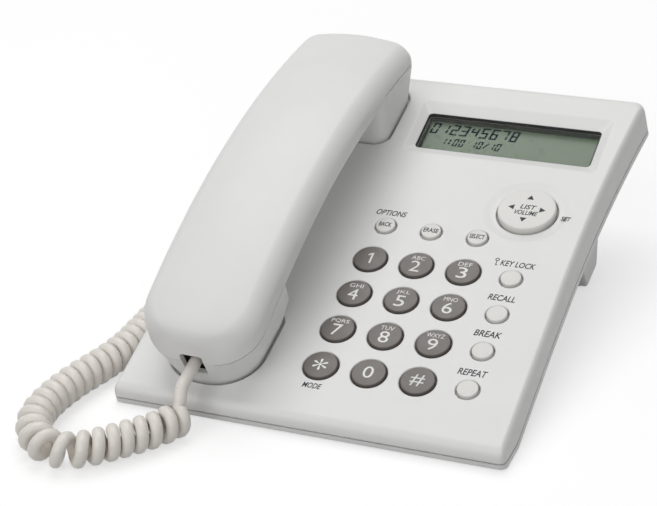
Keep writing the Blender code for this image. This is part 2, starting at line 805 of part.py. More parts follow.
def hanger_outline(growth):
    rows = [y for _, y in cup_outline("ear", 0.0, 0.0)]
    y = HANDSET_Y + min(rows) - HANGER_GAP
    return (HANDSET_X - HANGER_WIDTH / 2 - growth, HANDSET_X + HANGER_WIDTH / 2 + growth,
            y - HANGER_DEPTH / 2 - growth, y + HANGER_DEPTH / 2 + growth)


def wall_x(z):
    """Outer face of the left wall at the handset jack."""
    return SIDE_DRAFT * z - half_width(BASE_JACK_Y)


def wall_y(z):
    """Outer face of the rear wall."""
    return BASE_DEPTH - REAR_DRAFT * z


def base_jack_window(growth, x0, x1):
    return block(x0, x1, BASE_JACK_Y - PLUG_WIDTH / 2 - growth, BASE_JACK_Y + PLUG_WIDTH / 2 + growth,
                 BASE_JACK_Z - PLUG_HEIGHT / 2 - growth, BASE_JACK_Z + PLUG_HEIGHT / 2 + growth)


def line_jack_window(growth, y0, y1):
    return block(LINE_JACK_X - LINE_JACK_WIDTH / 2 - growth, LINE_JACK_X + LINE_JACK_WIDTH / 2 + growth,
                 y0, y1, LINE_JACK_Z - LINE_JACK_HEIGHT / 2 - growth,
                 LINE_JACK_Z + LINE_JACK_HEIGHT / 2 + growth)


def base_inside(top, bottom):
    return solid(base_form(SIDE_WALL, top, bottom, INNER_RADIUS, 2))


def top_cover(phone):
    inside = base_inside(-TOP_WALL, DEEP)
    kept = [solid(well(end, WELL_GAP + TOP_WALL, THROUGH, WELL_BOTTOM - WELL_FLOOR))
            for end in ("mouth", "ear")]
    kept.append(solid(prism(lens_outline(FIT + FRAME_BLOCK), LEDGE_BOTTOM, THROUGH)))
    for x, y in screw_places():
        kept.append(solid(disc(SCREW_BOSS, DEEP - THROUGH, THROUGH, (x, y), 14)))
    cut(inside, *kept)
    body = solid(base_form(0.0, 0.0, DEEP, EDGE_RADIUS, 4))
    cut(body, inside, solid(beyond_belly(RIM_HEIGHT, DEEP - THROUGH)))
    holes = [key_hole(x, y, diameter, steps) for _, x, y, diameter, _, steps, _ in key_places()]
    cut(body, solid(merged(holes)), solid(nav_hole()), solid(frame_slope()))
    cut(body, solid(prism(lens_outline(FIT), LENS_SEAT, -FRAME_DEPTH / 2)))
    cut(body, solid(prism(lens_outline(-LEDGE), LEDGE_BOTTOM - THROUGH, -FRAME_DEPTH)))
    cut(body, solid(well("mouth", WELL_GAP, THROUGH, WELL_BOTTOM)))
    cut(body, solid(well("ear", WELL_GAP, THROUGH, WELL_BOTTOM)))
    cut(body, solid(block(*hook_outline(FIT), WELL_BOTTOM - WELL_FLOOR - THROUGH, 0.0)))
    cut(body, solid(block(*hanger_outline(FIT), -TOP_WALL - THROUGH, THROUGH)))
    left = wall_x(BASE_JACK_Z)
    cut(body, solid(base_jack_window(FIT, left - THROUGH, left + SIDE_WALL + THROUGH)))
    rear = wall_y(LINE_JACK_Z)
    cut(body, solid(line_jack_window(0.0, rear - SIDE_WALL - THROUGH, rear + THROUGH)))
    pilots = [disc(SCREW_SHANK + 2 * FIT, DEEP, screw_head_top(y) + SCREW_LENGTH + FIT, (x, y), 12)
              for x, y in screw_places()]
    cut(body, solid(merged(pilots)))
    return piece("top_cover", body, "white_plastic", phone)


def screw_head_top(y):
    """Face that a base screw's head clamps."""
    return belly(y, RIM_HEIGHT) - SEAM_GAP - SCREW_SHELF - FIT


def stand_tabs():
    """Clips on the stand, as x, y0 and y1."""
    tabs = []
    for side in (-1, 1):
        for y in (STAND_FRONT_TOP + STAND_WALL, STAND_REAR_TOP - 2 * STAND_WALL - STAND_TAB_DEPTH):
            tabs.append((side * STAND_TAB_X, y, y + STAND_TAB_DEPTH))
    return tabs


def tab_block(x, y0, y1, growth, z0, z1):
    half = STAND_TAB_WIDTH / 2 + growth
    return block(x - half, x + half, y0 - growth, y1 + growth, z0, z1)


def foot_form(x, y, diameter, top, low, steps=16):
    """A foot whose ends follow two given heights."""
    rings = []
    for height in (low, top):
        ring = []
        for step in range(steps):
            angle = math.tau * step / steps
            px = x + diameter / 2 * math.cos(angle)
            py = y + diameter / 2 * math.sin(angle)
            ring.append((px, py, height(py)))
        rings.append(ring)
    return loft(rings)


def bottom_cover(phone):
    inside = base_inside(THROUGH, DEEP)
    cut(inside, solid(beyond_belly(FLOOR_WALL, DEEP - THROUGH)))
    for x, y in screw_places():
        cut(inside, solid(disc(SCREW_BOSS, DEEP, THROUGH, (x, y), 14)))
    body = solid(base_form(0.0, 0.0, DEEP, EDGE_RADIUS, 1))
    cut(body, solid(beyond_belly(RIM_HEIGHT - SEAM_GAP, THROUGH)))
    cut(body, solid(beyond_belly(0.0, DEEP - THROUGH)))
    cut(body, inside)
    hook_y = HANDSET_Y + cup_middle("ear")
    pad = solid(block(HANDSET_X - HOOK_PAD_WIDTH / 2, HANDSET_X + HOOK_PAD_WIDTH / 2,
                      hook_y - HOOK_PAD_DEPTH / 2, hook_y + HOOK_PAD_DEPTH / 2, DEEP, HOOK_PAD_Z))
    outer = SPEAKER_DIAMETER / 2
    inner = outer - SPEAKER_RING
    ring = solid(turned([(inner, DEEP), (outer, DEEP), (outer, SPEAKER_SEAT_Z), (inner, SPEAKER_SEAT_Z),
                         (inner, DEEP)], (SPEAKER_X, SPEAKER_Y), 24))
    for mount in (pad, ring):
        cut(mount, solid(beyond_belly(FLOOR_WALL / 2, DEEP - THROUGH)))
        join(body, mount)
    cut(body, solid(slots(SPEAKER_X, SPEAKER_Y, DEEP, SPEAKER_SEAT_Z - FIT, SLOTS)))
    bores = [disc(SCREW_SHANK + 2 * FIT, DEEP, 0.0, place, 12) for place in screw_places()]
    cut(body, solid(merged(bores)))
    heads = [disc(SCREW_HEAD + 2 * FIT, DEEP, screw_head_top(y) + FIT, (x, y), 14)
             for x, y in screw_places()]
    cut(body, solid(merged(heads)))
    tabs = [tab_block(x, y0, y1, FIT, DEEP, 0.0) for x, y0, y1 in stand_tabs()]
    cut(body, solid(merged(tabs)))
    seats = [foot_form(side * FRONT_FOOT_X, FRONT_FOOT_Y, FOOT_DIAMETER + 2 * FIT,
                       lambda y: belly(y) + FOOT_SEAT, lambda y: table(y) - THROUGH) for side in (-1, 1)]
    cut(body, solid(merged(seats)))
    return piece("bottom_cover", body, "white_plastic", phone)


def sole(y):
    """Height of the stand's underside."""
    share = (y - STAND_FOOT_FRONT) / (STAND_FOOT_REAR - STAND_FOOT_FRONT)
    return table(y) + STAND_FOOT_PROUD + STAND_SOLE_RISE * share


def tilt_stand(phone):
    outline = [(STAND_FRONT_TOP, 0.0), (STAND_FOOT_FRONT, sole(STAND_FOOT_FRONT)),
               (STAND_FOOT_REAR, sole(STAND_FOOT_REAR)), (STAND_REAR_TOP, -STAND_REAR_DROP),
               (STAND_REAR_TOP, 0.0)]
    half = STAND_WIDTH / 2
    body = solid(slab(fillet(outline, (0, STAND_EDGE, STAND_EDGE, STAND_EDGE, 0)), -half, half))
    hollow = drawn_in(outline, STAND_WALL)
    cut(body, solid(slab(hollow, -half + STAND_WALL, half - STAND_WALL)))
    cut(body, solid(beyond_belly(-FIT, 2 * THROUGH)))
    for x, y0, y1 in stand_tabs():
        low = belly(y1) - STAND_TAB_HEIGHT
        high = belly(y0) + FLOOR_WALL
        tab = solid(tab_block(x, y0 - STAND_WALL, y1 + STAND_WALL, 0.0, low, belly(y1) - 2 * FIT))
        join(tab, solid(tab_block(x, y0, y1, 0.0, low, high)))
        join(body, tab)
    feet = [foot_form(side * STAND_FOOT_X, stand_foot_y(), FOOT_DIAMETER + 2 * FIT,
                      lambda y: sole(y) + FOOT_SEAT, lambda y: table(y) - THROUGH) for side in (-1, 1)]
    cut(body, solid(merged(feet)))
    return piece("tilt_stand", body, "white_plastic", phone)


def stand_foot_y():
    return STAND_FOOT_FRONT + STAND_EDGE + FOOT_DIAMETER / 2


def rubber_feet(phone):
    for side, label in ((-1, "left"), (1, "right")):
        front = solid(foot_form(side * FRONT_FOOT_X, FRONT_FOOT_Y, FOOT_DIAMETER,
                                lambda y: belly(y) + FOOT_SEAT - FIT, table))
        piece(f"front_foot_{label}", front, "foot_rubber", phone)
        rear = solid(foot_form(side * STAND_FOOT_X, stand_foot_y(), FOOT_DIAMETER,
                               lambda y: sole(y) + FOOT_SEAT - FIT, table))
        piece(f"stand_foot_{label}", rear, "foot_rubber", phone)


def screw(length):
    """A pan head screw standing on its head, with its clamping face at zero."""
    head = SCREW_HEAD / 2
    shank = SCREW_SHANK / 2
    return turned([(0, -SCREW_HEAD_HEIGHT), (head - SCREW_HEAD_EDGE, -SCREW_HEAD_HEIGHT),
                   (head, SCREW_HEAD_EDGE - SCREW_HEAD_HEIGHT), (head, 0), (shank, 0),
                   (shank, length - shank), (shank / 2, length), (0, length)], (0, 0), 10)


def base_screws(phone):
    for index, (x, y) in enumerate(screw_places(), start=1):
        place = (x, y, screw_head_top(y))
        body = solid(moved(screw(SCREW_LENGTH), place))
        piece(f"base_screw_{index}", body, "steel", phone, place)


def push_keys(phone):
    for name, x, y, diameter, proud, steps, slot in key_places():
        radius = diameter / 2
        flange = radius + KEY_PLAY + KEY_FLANGE_WIDTH
        profile = [(0, KEY_BOTTOM), (flange, KEY_BOTTOM), (flange, KEY_FLANGE_TOP),
                   (radius, KEY_FLANGE_TOP), (radius, proud - KEY_EDGE - KEY_DOME),
                   (radius - KEY_EDGE, proud - KEY_DOME), (0, proud)]
        piece(name, solid(turned(profile, (x, y), steps)), slot, phone, (x, y, KEY_BOTTOM))


def nav_key(phone):
    radius = NAV_DIAMETER / 2
    flange_top = -TOP_WALL - NAV_SWING
    flange_low = flange_top - NAV_FLANGE
    flange = radius + NAV_PLAY + NAV_FLANGE_WIDTH
    profile = [(0, flange_low), (flange, flange_low), (flange, flange_top), (radius, flange_top),
               (radius, NAV_PROUD - NAV_EDGE), (radius - NAV_EDGE / 3, NAV_PROUD - NAV_EDGE / 3),
               (radius - NAV_EDGE, NAV_PROUD), (0, NAV_PROUD)]
    pivot = (NAV_X, NAV_Y, flange_low - FIT)
    body = solid(turned(profile, (NAV_X, NAV_Y), 28))
    piece("nav_key", body, "white_key", phone, pivot)
    post = solid(disc(NAV_PIVOT_DIAMETER, BOARD_TOP + FIT, flange_low - FIT, (NAV_X, NAV_Y), 14))
    piece("nav_pivot", post, "dark_plastic", phone, pivot)


def key_mat_and_board(phone):
    left = KEY_1_X
    right = KEY_1_X + 3 * KEY_PITCH
    front = KEY_1_Y - 3 * KEY_PITCH
    rear = KEY_1_Y + KEY_PITCH
    mat = solid(prism(rounded(left - MAT_MARGIN, right + MAT_MARGIN, front - MAT_MARGIN, rear + MAT_MARGIN,
                              (MAT_MARGIN / 2,) * 4, steps=3), MAT_TOP - MAT_SHEET, MAT_TOP))
    base = MAT_DOME_DIAMETER / 2
    low = MAT_TOP - MAT_SHEET / 2
    high = MAT_TOP + MAT_DOME_HEIGHT
    domes = [turned([(0, low), (base, low), (MAT_DOME_TOP / 2, high), (0, high)], (x, y), 6)
             for _, x, y, _, _, _, _ in key_places()]
    join(mat, solid(merged(domes)))
    piece("keypad_rubber", mat, "key_mat", phone)
    board = solid(block(left - BOARD_MARGIN, right + BOARD_MARGIN, front - BOARD_MARGIN, BOARD_REAR_Y,
                        BOARD_TOP - BOARD, BOARD_TOP))
    piece("main_pcb", board, "circuit_board", phone)


def display(phone):
    lens = solid(prism(lens_outline(0.0), LENS_SEAT + FIT, LENS_SEAT + FIT + LENS_THICKNESS))
    piece("lcd_lens", lens, "clear_lens", phone)
    top = LEDGE_BOTTOM - FIT
    panel = solid(prism(lens_outline(PANEL_MARGIN - LEDGE), top - PANEL_THICKNESS, top))
    piece("lcd_panel", panel, "display_glass", phone)


def hook(phone):
    low = HOOK_FLANGE_TOP - HOOK_FLANGE
    body = solid(block(*hook_outline(0.0), low, WELL_BOTTOM))
    join(body, solid(block(*hook_outline(HOOK_FLANGE_WIDTH), low, HOOK_FLANGE_TOP)))
    middle = HANDSET_Y + cup_middle("ear")
    piece("hook_button", body, "white_plastic", phone, (HANDSET_X, middle, low))
    spring_coil(phone, Vector((HANDSET_X, middle, HOOK_PAD_Z + FIT)), low - FIT)
    left = HANDSET_X + HOOK_WIDTH / 2 + HOOK_FLANGE_WIDTH + 2 * FIT
    switch = solid(block(left, left + SWITCH_WIDTH, middle - SWITCH_DEPTH / 2, middle + SWITCH_DEPTH / 2,
                         HOOK_PAD_Z + FIT, HOOK_PAD_Z + FIT + SWITCH_HEIGHT))
    piece("hook_switch", switch, "dark_plastic", phone)
    tab = solid(block(*hanger_outline(0.0), -HANGER_HEIGHT, 0.0))
    piece("hanger_tab", tab, "white_plastic", phone)


def tube(name, points, diameter, slot, parent=None):
    """A closed round tube through the given points."""
    data = bpy.data.curves.new(name, "CURVE")
    data.dimensions = "3D"
    data.bevel_depth = diameter / 2
    data.bevel_resolution = 1
    data.use_fill_caps = True
    spline = data.splines.new("POLY")
    spline.points.add(len(points) - 1)
    for knot, point in zip(spline.points, points):
        knot.co = (*point, 1.0)
    data.materials.append(finish(slot))
    thing = bpy.data.objects.new(name, data)
    bpy.context.scene.collection.objects.link(thing)
    thing.parent = parent
    return thing


def spring_coil(phone, foot, top):
    """The pressed hook spring between its pad and the button."""
    radius = (SPRING_DIAMETER - SPRING_WIRE) / 2
    low = foot.z + SPRING_WIRE / 2
    high = top - SPRING_WIRE / 2
    count = 8 * SPRING_TURNS
    points = []
    for step in range(count + 1):
        angle = math.tau * SPRING_TURNS * step / count
        points.append((foot.x + radius * math.cos(angle), foot.y + radius * math.sin(angle),
                       low + (high - low) * step / count))
    tube("hook_spring", points, SPRING_WIRE, "steel", phone)


def ringer(phone):
    low = SPEAKER_SEAT_Z + FIT
    radius = SPEAKER_DIAMETER / 2
    magnet = SPEAKER_MAGNET / 2
    body = turned([(0, low), (radius, low), (radius, low + SPEAKER_RIM), (magnet, low + SPEAKER_CONE),
                   (magnet, low + SPEAKER_HEIGHT), (0, low + SPEAKER_HEIGHT)], (SPEAKER_X, SPEAKER_Y), 24)
    piece("ringer_speaker", solid(body), "dark_plastic", phone)


def base_jacks(phone):
    face = wall_x(BASE_JACK_Z + PLUG_HEIGHT) + SIDE_WALL + 2 * FIT
    body = solid(base_jack_window(FIT + JACK_WALL, face, face + JACK_DEPTH))
    seat = wall_x(BASE_JACK_Z) + BASE_JACK_SET + PLUG_LENGTH
    cut(body, solid(base_jack_window(FIT, face - THROUGH, seat + FIT)))
    piece("base_handset_jack", body, "dark_plastic", phone)
    rear = wall_y(LINE_JACK_Z + LINE_JACK_HEIGHT) - SIDE_WALL - FIT
    line = solid(line_jack_window(JACK_WALL, rear - JACK_DEPTH, rear))
    cut(line, solid(line_jack_window(0.0, rear - JACK_DEPTH + JACK_WALL, rear + THROUGH)))
    piece("line_jack", line, "dark_plastic", phone)


def base_plug(phone):
    """Plug in the side of the base; returns where its cord begins."""
    rear = wall_x(BASE_JACK_Z) + BASE_JACK_SET
    body = solid(base_jack_window(0.0, rear, rear + PLUG_LENGTH))
    end = (rear - BASE_STUB, BASE_JACK_Y, BASE_JACK_Z)
    join(body, solid(rod(CORD_DIAMETER, end, (rear + PLUG_LENGTH / 2, BASE_JACK_Y, BASE_JACK_Z))))
    piece("base_plug", body, "clear_plug", phone)
    return Vector(end) - Vector((FIT, 0, 0))


# Pieces of the handset

def handset_screw_places():
    """Screws along the middle of the grip, as y."""
    return (MOUTH_CUP_LENGTH + 2 * SCREW_BOSS, HANDSET_LENGTH - EAR_CUP_LENGTH - 2 * SCREW_BOSS)


def handset_screw_face(y):
    return parting(y) - SEAM_GAP - SCREW_SHELF - FIT


def notch():
    return block(-NOTCH_WIDTH / 2, NOTCH_WIDTH / 2, -THROUGH, NOTCH_DEPTH, NOTCH_LOW, NOTCH_HIGH)


def handset_covers(frame):
    inside = solid(upper_form(HANDSET_WALL, 2 * THROUGH))
    for y in handset_screw_places():
        cut(inside, solid(disc(SCREW_BOSS, 0.0, 2 * HANDSET_CROWN, (0, y), 14)))
    top = solid(upper_form(0.0, 0.0))
    cut(top, inside, solid(notch()))
    pilots = [disc(SCREW_SHANK + 2 * FIT, 0.0, handset_screw_face(y) + SCREW_LENGTH + FIT, (0, y), 12)
              for y in handset_screw_places()]
    cut(top, solid(merged(pilots)))
    piece("handset_top_cover", top, "white_plastic", frame)

    body = solid(grip_form(0.0))
    hollow = solid(grip_form(HANDSET_WALL))
    for end in ("mouth", "ear"):
        join(body, solid(cup_form(end, 0.0, -CUP_SINK, HANDSET_WALL / 2)))
        join(hollow, solid(cup_form(end, HANDSET_WALL, HANDSET_WALL - CUP_SINK, HANDSET_WALL / 2)))
    cut(body, solid(above_parting(-SEAM_GAP)))
    for y in handset_screw_places():
        cut(hollow, solid(disc(SCREW_BOSS, -THROUGH, 2 * HANDSET_CROWN, (0, y), 14)))
    cut(body, hollow, solid(notch()))
    bores = [disc(SCREW_SHANK + 2 * FIT, 0.0, HANDSET_CROWN, (0, y), 12) for y in handset_screw_places()]
    cut(body, solid(merged(bores)))
    heads = [disc(SCREW_HEAD + 2 * FIT, 0.0, handset_screw_face(y) + FIT, (0, y), 14)
             for y in handset_screw_places()]
    cut(body, solid(merged(heads)))
    floor = HANDSET_WALL - CUP_SINK
    cut(body, solid(slots(0, cup_middle("ear"), -CUP_SINK - THROUGH, floor + FIT, SLOTS)))
    cut(body, solid(slots(0, MICROPHONE_Y, -CUP_SINK - THROUGH, floor + FIT, SLOTS - 2)))
    piece("handset_bottom_cover", body, "white_plastic", frame)


def handset_insides(frame):
    floor = HANDSET_WALL - CUP_SINK + FIT
    receiver = turned([(0, floor), (RECEIVER_DIAMETER / 2, floor),
                       (RECEIVER_DIAMETER / 2, floor + RECEIVER_RIM),
                       (RECEIVER_BACK / 2, floor + RECEIVER_HEIGHT), (0, floor + RECEIVER_HEIGHT)],
                      (0, cup_middle("ear")), 24)
    piece("receiver_capsule", solid(receiver), "dark_plastic", frame)
    mic = disc(MICROPHONE_DIAMETER, floor, floor + MICROPHONE_HEIGHT, (0, MICROPHONE_Y), 16)
    piece("mic_capsule", solid(mic), "dark_plastic", frame)
    middle = sum(handset_screw_places()) / 2
    start = middle - WEIGHT_LENGTH / 2
    end = middle + WEIGHT_LENGTH / 2
    seat = parting(min(max(PARTING_MIDDLE, start), end)) - GRIP_DEPTH + HANDSET_WALL + FIT
    bar = block(-WEIGHT_WIDTH / 2, WEIGHT_WIDTH / 2, start, end, seat, seat + WEIGHT_HEIGHT)
    piece("handset_weight", solid(bar), "steel", frame)
    for index, y in enumerate(handset_screw_places(), start=1):
        place = (0, y, handset_screw_face(y))
        body = solid(moved(screw(SCREW_LENGTH), place))
        piece(f"handset_screw_{index}", body, "steel", frame, place)


def handset_plug_and_jack(frame):
    """Jack behind the notch and the plug in it; returns where the cord begins."""
    half = PLUG_WIDTH / 2
    rise = PLUG_HEIGHT / 2
    face = NOTCH_DEPTH + FIT
    jack = solid(block(-half - FIT - JACK_WALL, half + FIT + JACK_WALL, face, face + JACK_DEPTH,
                       HANDSET_WALL - CUP_SINK + FIT, HANDSET_JACK_Z + rise + FIT + JACK_WALL))
    cut(jack, solid(block(-half - FIT, half + FIT, face - THROUGH, face + PLUG_LENGTH + FIT,
                          HANDSET_JACK_Z - rise - FIT, HANDSET_JACK_Z + rise + FIT)))
    piece("handset_jack", jack, "dark_plastic", frame)
    body = solid(block(-half, half, face, face + PLUG_LENGTH, HANDSET_JACK_Z - rise, HANDSET_JACK_Z + rise))
    end = (0, -STUB_REACH, HANDSET_JACK_Z)
    join(body, solid(rod(CORD_DIAMETER, end, (0, face + PLUG_LENGTH / 2, HANDSET_JACK_Z))))
    piece("handset_plug", body, "clear_plug", frame)
    return Vector(end) - Vector((0, FIT, 0))


# Curly cord

HANDSET_TAIL = (
    (-0.0427, -0.1055, 0.0146),
)
COIL_AXIS = (
    (-0.0430, -0.1069, 0.0071),
    (-0.0468, -0.1142, 0.0071),
    (-0.0516, -0.1205, 0.0071),
    (-0.0576, -0.1270, 0.0071),
    (-0.0641, -0.1333, 0.0071),
    (-0.0706, -0.1377, 0.0071),
    (-0.0776, -0.1390, 0.0071),
    (-0.0846, -0.1363, 0.0071),
    (-0.0902, -0.1308, 0.0071),
    (-0.0938, -0.1235, 0.0071),
    (-0.0951, -0.1150, 0.0071),
    (-0.0945, -0.1050, 0.0071),
    (-0.0924, -0.0940, 0.0071),
    (-0.0892, -0.0835, 0.0071),
    (-0.0866, -0.0735, 0.0071),
    (-0.0854, -0.0640, 0.0071),
    (-0.0851, -0.0545, 0.0071),
    (-0.0850, -0.0460, 0.0071),
    (-0.0850, -0.0380, 0.0071),
)
BASE_TAIL = (
    (-0.0802, -0.0362, 0.0024),
    (-0.0772, -0.0310, 0.0024),
    (-0.0772, -0.0230, 0.0024),
    (-0.0795, -0.0140, 0.0024),
    (-0.0825, -0.0060, 0.0027),
    (-0.0848, 0.0000, 0.0046),
    (-0.0860, 0.0048, 0.0085),
    (-0.0865, 0.0085, 0.0135),
    (-0.0866, 0.0106, 0.0195),
    (-0.0864, 0.0114, 0.0258),
    (-0.0852, 0.0115, 0.0305),
    (-0.0822, 0.0115, 0.0340),
)


def smooth_line(points, spacing, fineness=20):
    """Points at even steps along a smooth curve through the given ones."""
    dense = []
    padded = [2 * points[0] - points[1]] + points + [2 * points[-1] - points[-2]]
    for index in range(1, len(padded) - 2):
        before, start, end, after = padded[index - 1:index + 3]
        for step in range(fineness):
            t = step / fineness
            dense.append(0.5 * ((2 * start) + (end - before) * t
                                + (2 * before - 5 * start + 4 * end - after) * t ** 2
                                + (3 * start - before - 3 * end + after) * t ** 3))
    dense.append(points[-1])
    lengths = [0.0]
    for start, end in zip(dense, dense[1:]):
        lengths.append(lengths[-1] + (end - start).length)
    count = max(2, round(lengths[-1] / spacing))
    line = []
    place = 0
    for step in range(count + 1):
        target = lengths[-1] * step / count
        while place < len(lengths) - 2 and lengths[place + 1] < target:
            place += 1
        share = (target - lengths[place]) / (lengths[place + 1] - lengths[place])
        line.append(dense[place].lerp(dense[place + 1], share))
    return line


def coil_points():
    """The curls, wound from the top of their axis to its underside, even along the inner side of a bend."""
    axis = smooth_line([Vector(point) for point in COIL_AXIS], AXIS_SPACING)
    ways = [(end - start).normalized() for start, end in zip(axis, axis[1:])]
    inner = [0.0]
    for start, end, way, after in zip(axis, axis[1:], ways, ways[1:] + ways[-1:]):
        inner.append(inner[-1] + (end - start).length - COIL_RADIUS * way.angle(after))
    up = Vector((0, 0, 1))
    count = round(COIL_TURNS * COIL_POINTS)
    points = []
    index = 0
    for step in range(count + 1):
        target = inner[-1] * step / count
        while index < len(ways) - 1 and inner[index + 1] < target:
            index += 1
        share = (target - inner[index]) / (inner[index + 1] - inner[index])
        centre = axis[index].lerp(axis[index + 1], share)
        outward = Vector((-ways[index].y, ways[index].x, 0))
        angle = math.tau * COIL_TURNS * step / count
        points.append(centre + COIL_RADIUS * (up * math.cos(angle) + outward * math.sin(angle)))
    return points


def least_gap(points, apart, diameter):
    """Least clear gap of a tube to itself, between points further apart along it than given."""
    least = math.inf
    for index, point in enumerate(points):
        for other in range(index + apart, len(points)):
            least = min(least, (points[other] - point).length)
    return least - diameter


def curly_cord(handset_end, handset_out, base_end, base_out):
    """One tube from plug to plug: a short tail, the curls, a longer tail."""
    straight = CORD_DIAMETER
    coil = coil_points()
    head = [handset_end, handset_end + handset_out * straight]
    head += [Vector(point) for point in HANDSET_TAIL]
    head_line = smooth_line(head + coil[:1], HEAD_SPACING)
    foot = [Vector(point) for point in BASE_TAIL] + [base_end + base_out * straight, base_end]
    foot_line = smooth_line(coil[-1:] + foot, TAIL_SPACING)
    points = [handset_end, head[1]] + head_line[2:-1] + coil + foot_line[1:-2] + [foot[-2], base_end]
    tube("handset_cord", points, CORD_DIAMETER, "cord_vinyl")
    length = sum((end - start).length for start, end in zip(points, points[1:]))
    print(f"cord length {length:.3f} m, least gap to itself "
          f"{least_gap(points, COIL_POINTS // 2 + 1, CORD_DIAMETER) * 1000:.2f} mm")


def stand_on_table(phone, loose):
    """Tilt the phone and set the origin under the middle of its box."""
    phone.rotation_euler = (TILT, 0, 0)
    bpy.context.view_layer.update()
    corners = []
    for thing in bpy.data.objects:
        if thing.type == "MESH" and thing.name not in loose:
            corners += [thing.matrix_world @ vertex.co for vertex in thing.data.vertices]
    low = [min(corner[axis] for corner in corners) for axis in range(3)]
    high = [max(corner[axis] for corner in corners) for axis in range(3)]
    phone.location = (-(low[0] + high[0]) / 2, -(low[1] + high[1]) / 2, -low[2])
    bpy.context.view_layer.update()


def main():
    clear_scene()
    phone = empty("phone")
    handset = empty("handset", phone, HANDSET_PLACE)
    top_cover(phone)
    bottom_cover(phone)
    tilt_stand(phone)
    rubber_feet(phone)
    base_screws(phone)
    push_keys(phone)
    nav_key(phone)
    key_mat_and_board(phone)
    display(phone)
    hook(phone)
    ringer(phone)
    base_jacks(phone)
    base_end = base_plug(phone)
    handset_covers(handset)
    handset_insides(handset)
    handset_end = handset_plug_and_jack(handset)
    stand_on_table(phone, ("base_plug", "handset_plug"))
    turn = phone.matrix_world.to_3x3()
    curly_cord(handset.matrix_world @ handset_end, turn @ Vector((0, -1, 0)),
               phone.matrix_world @ base_end, turn @ Vector((-1, 0, 0)))


main()
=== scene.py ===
"""Corded desk phone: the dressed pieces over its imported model.

Lengths are metres.  The base is drawn lying flat in its own frame: x to the right from its middle,
y to the rear from its front edge, z up from its top face.  LAID then sets that frame on the desk.
"""
import math

import bmesh
import bpy
from bpy.props import FloatProperty, FloatVectorProperty, IntProperty, PointerProperty, StringProperty
from mathutils import Matrix, Vector


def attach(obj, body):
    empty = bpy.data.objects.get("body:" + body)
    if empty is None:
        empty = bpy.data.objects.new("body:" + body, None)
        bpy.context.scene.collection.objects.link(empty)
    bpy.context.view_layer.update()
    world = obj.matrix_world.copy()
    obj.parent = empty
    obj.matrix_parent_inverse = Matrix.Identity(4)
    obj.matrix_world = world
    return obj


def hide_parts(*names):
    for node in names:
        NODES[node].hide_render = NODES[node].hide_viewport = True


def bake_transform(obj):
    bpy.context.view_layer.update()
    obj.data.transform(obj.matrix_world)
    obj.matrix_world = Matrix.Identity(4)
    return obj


bl_info = {
    "name": "Corded Desk Phone",
    "version": (1, 0, 0),
    "blender": (4, 5, 0),
    "location": "View3D > Sidebar > Phone",
    "description": "Dresses the packed model of a corded desk phone",
    "category": "Object",
}

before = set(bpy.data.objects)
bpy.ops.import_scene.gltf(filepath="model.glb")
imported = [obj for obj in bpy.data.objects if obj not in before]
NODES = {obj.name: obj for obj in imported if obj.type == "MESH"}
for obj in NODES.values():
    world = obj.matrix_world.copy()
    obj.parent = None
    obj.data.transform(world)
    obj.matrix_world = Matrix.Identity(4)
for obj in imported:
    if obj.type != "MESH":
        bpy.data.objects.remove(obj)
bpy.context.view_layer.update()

# Play between pieces, and how far cutters pass a face or reach beyond the base
FIT = 0.0003
THROUGH = 0.004
FAR = 0.040
DEEP = -0.060

# Base
TILT = math.radians(17.5)
BASE_WIDTH = 0.1532
BASE_DEPTH = 0.1953
FLARE_START = 0.085
FLARE_RADIUS = 1.0
SIDE_DRAFT = math.tan(math.radians(3.0))
REAR_DRAFT = math.tan(math.radians(5.0))
EDGE_RADIUS = 0.0045
CORNER_RADIUS = 0.0028
SIDE_EDGE_SHARE = 0.5
REAR_CORNER_MORE = 0.0026
LEAST_CORNER = 0.0011
INNER_EDGE = 0.0015
TOP_WALL = 0.0022
SIDE_WALL = 0.0024
FLOOR_WALL = 0.0021
FRONT_HEIGHT = 0.0076
BELLY_HEIGHT = 0.0120
BELLY_START = 0.062
BELLY_SLOPE = 0.033
RIM_HEIGHT = 0.0030
BASE_SEAM = 0.0008
FRONT_LIFT = 0.0008

# Keys
KEY_PITCH = 0.0190
KEY_1_X = -0.0014
KEY_1_Y = 0.0840
KEY_PLAY = 0.00065
KEY_DOME = 0.0003
DOME_SHARES = (0.88, 0.7, 0.5, 0.3, 0.0)
KEY_FLANGE_TOP = -0.0025
KEY_BOTTOM = -0.0035
KEY_FLANGE_REACH = 0.0016
NAV_X = 0.0516
NAV_Y = 0.1212
NAV_RADIUS = 0.0116
NAV_PLAY = 0.0008
NAV_PROUD = 0.0016
NAV_FLANGE_DROP = 0.0012
NAV_FLANGE_REACH = 0.0016
NAV_FLANGE = 0.001
NAV_STEPS = 96
NAV_DISH_RADIUS = 0.01725
NAV_DISH_DEPTH = 0.0008
NAV_DISH_SLOPE = 0.0032

# Display
LENS_X = 0.0314
LENS_Y = 0.1635
LENS_WIDTH = 0.0740
LENS_DEPTH = 0.0214
LENS_TOP = -0.0020
LENS_THICKNESS = 0.0015
LENS_CORNER = 0.0016
LENS_EDGE = 0.00025
LENS_SEAT = -0.0038
LEDGE = 0.0005
LEDGE_BOTTOM = -0.0052
PANEL_TOP = -0.0055
PANEL_THICKNESS = 0.0028
PANEL_GROWTH = -0.0002
PANEL_EDGE = 0.0002
FRAME_SIDE_RUN = 0.0036
FRAME_FRONT_RUN = 0.0048
FRAME_REAR_RUN = 0.0058
FRAME_SOFT_SHARE = 0.18
FRAME_STEPS = 6
FRAME_BLOCK = 0.0022

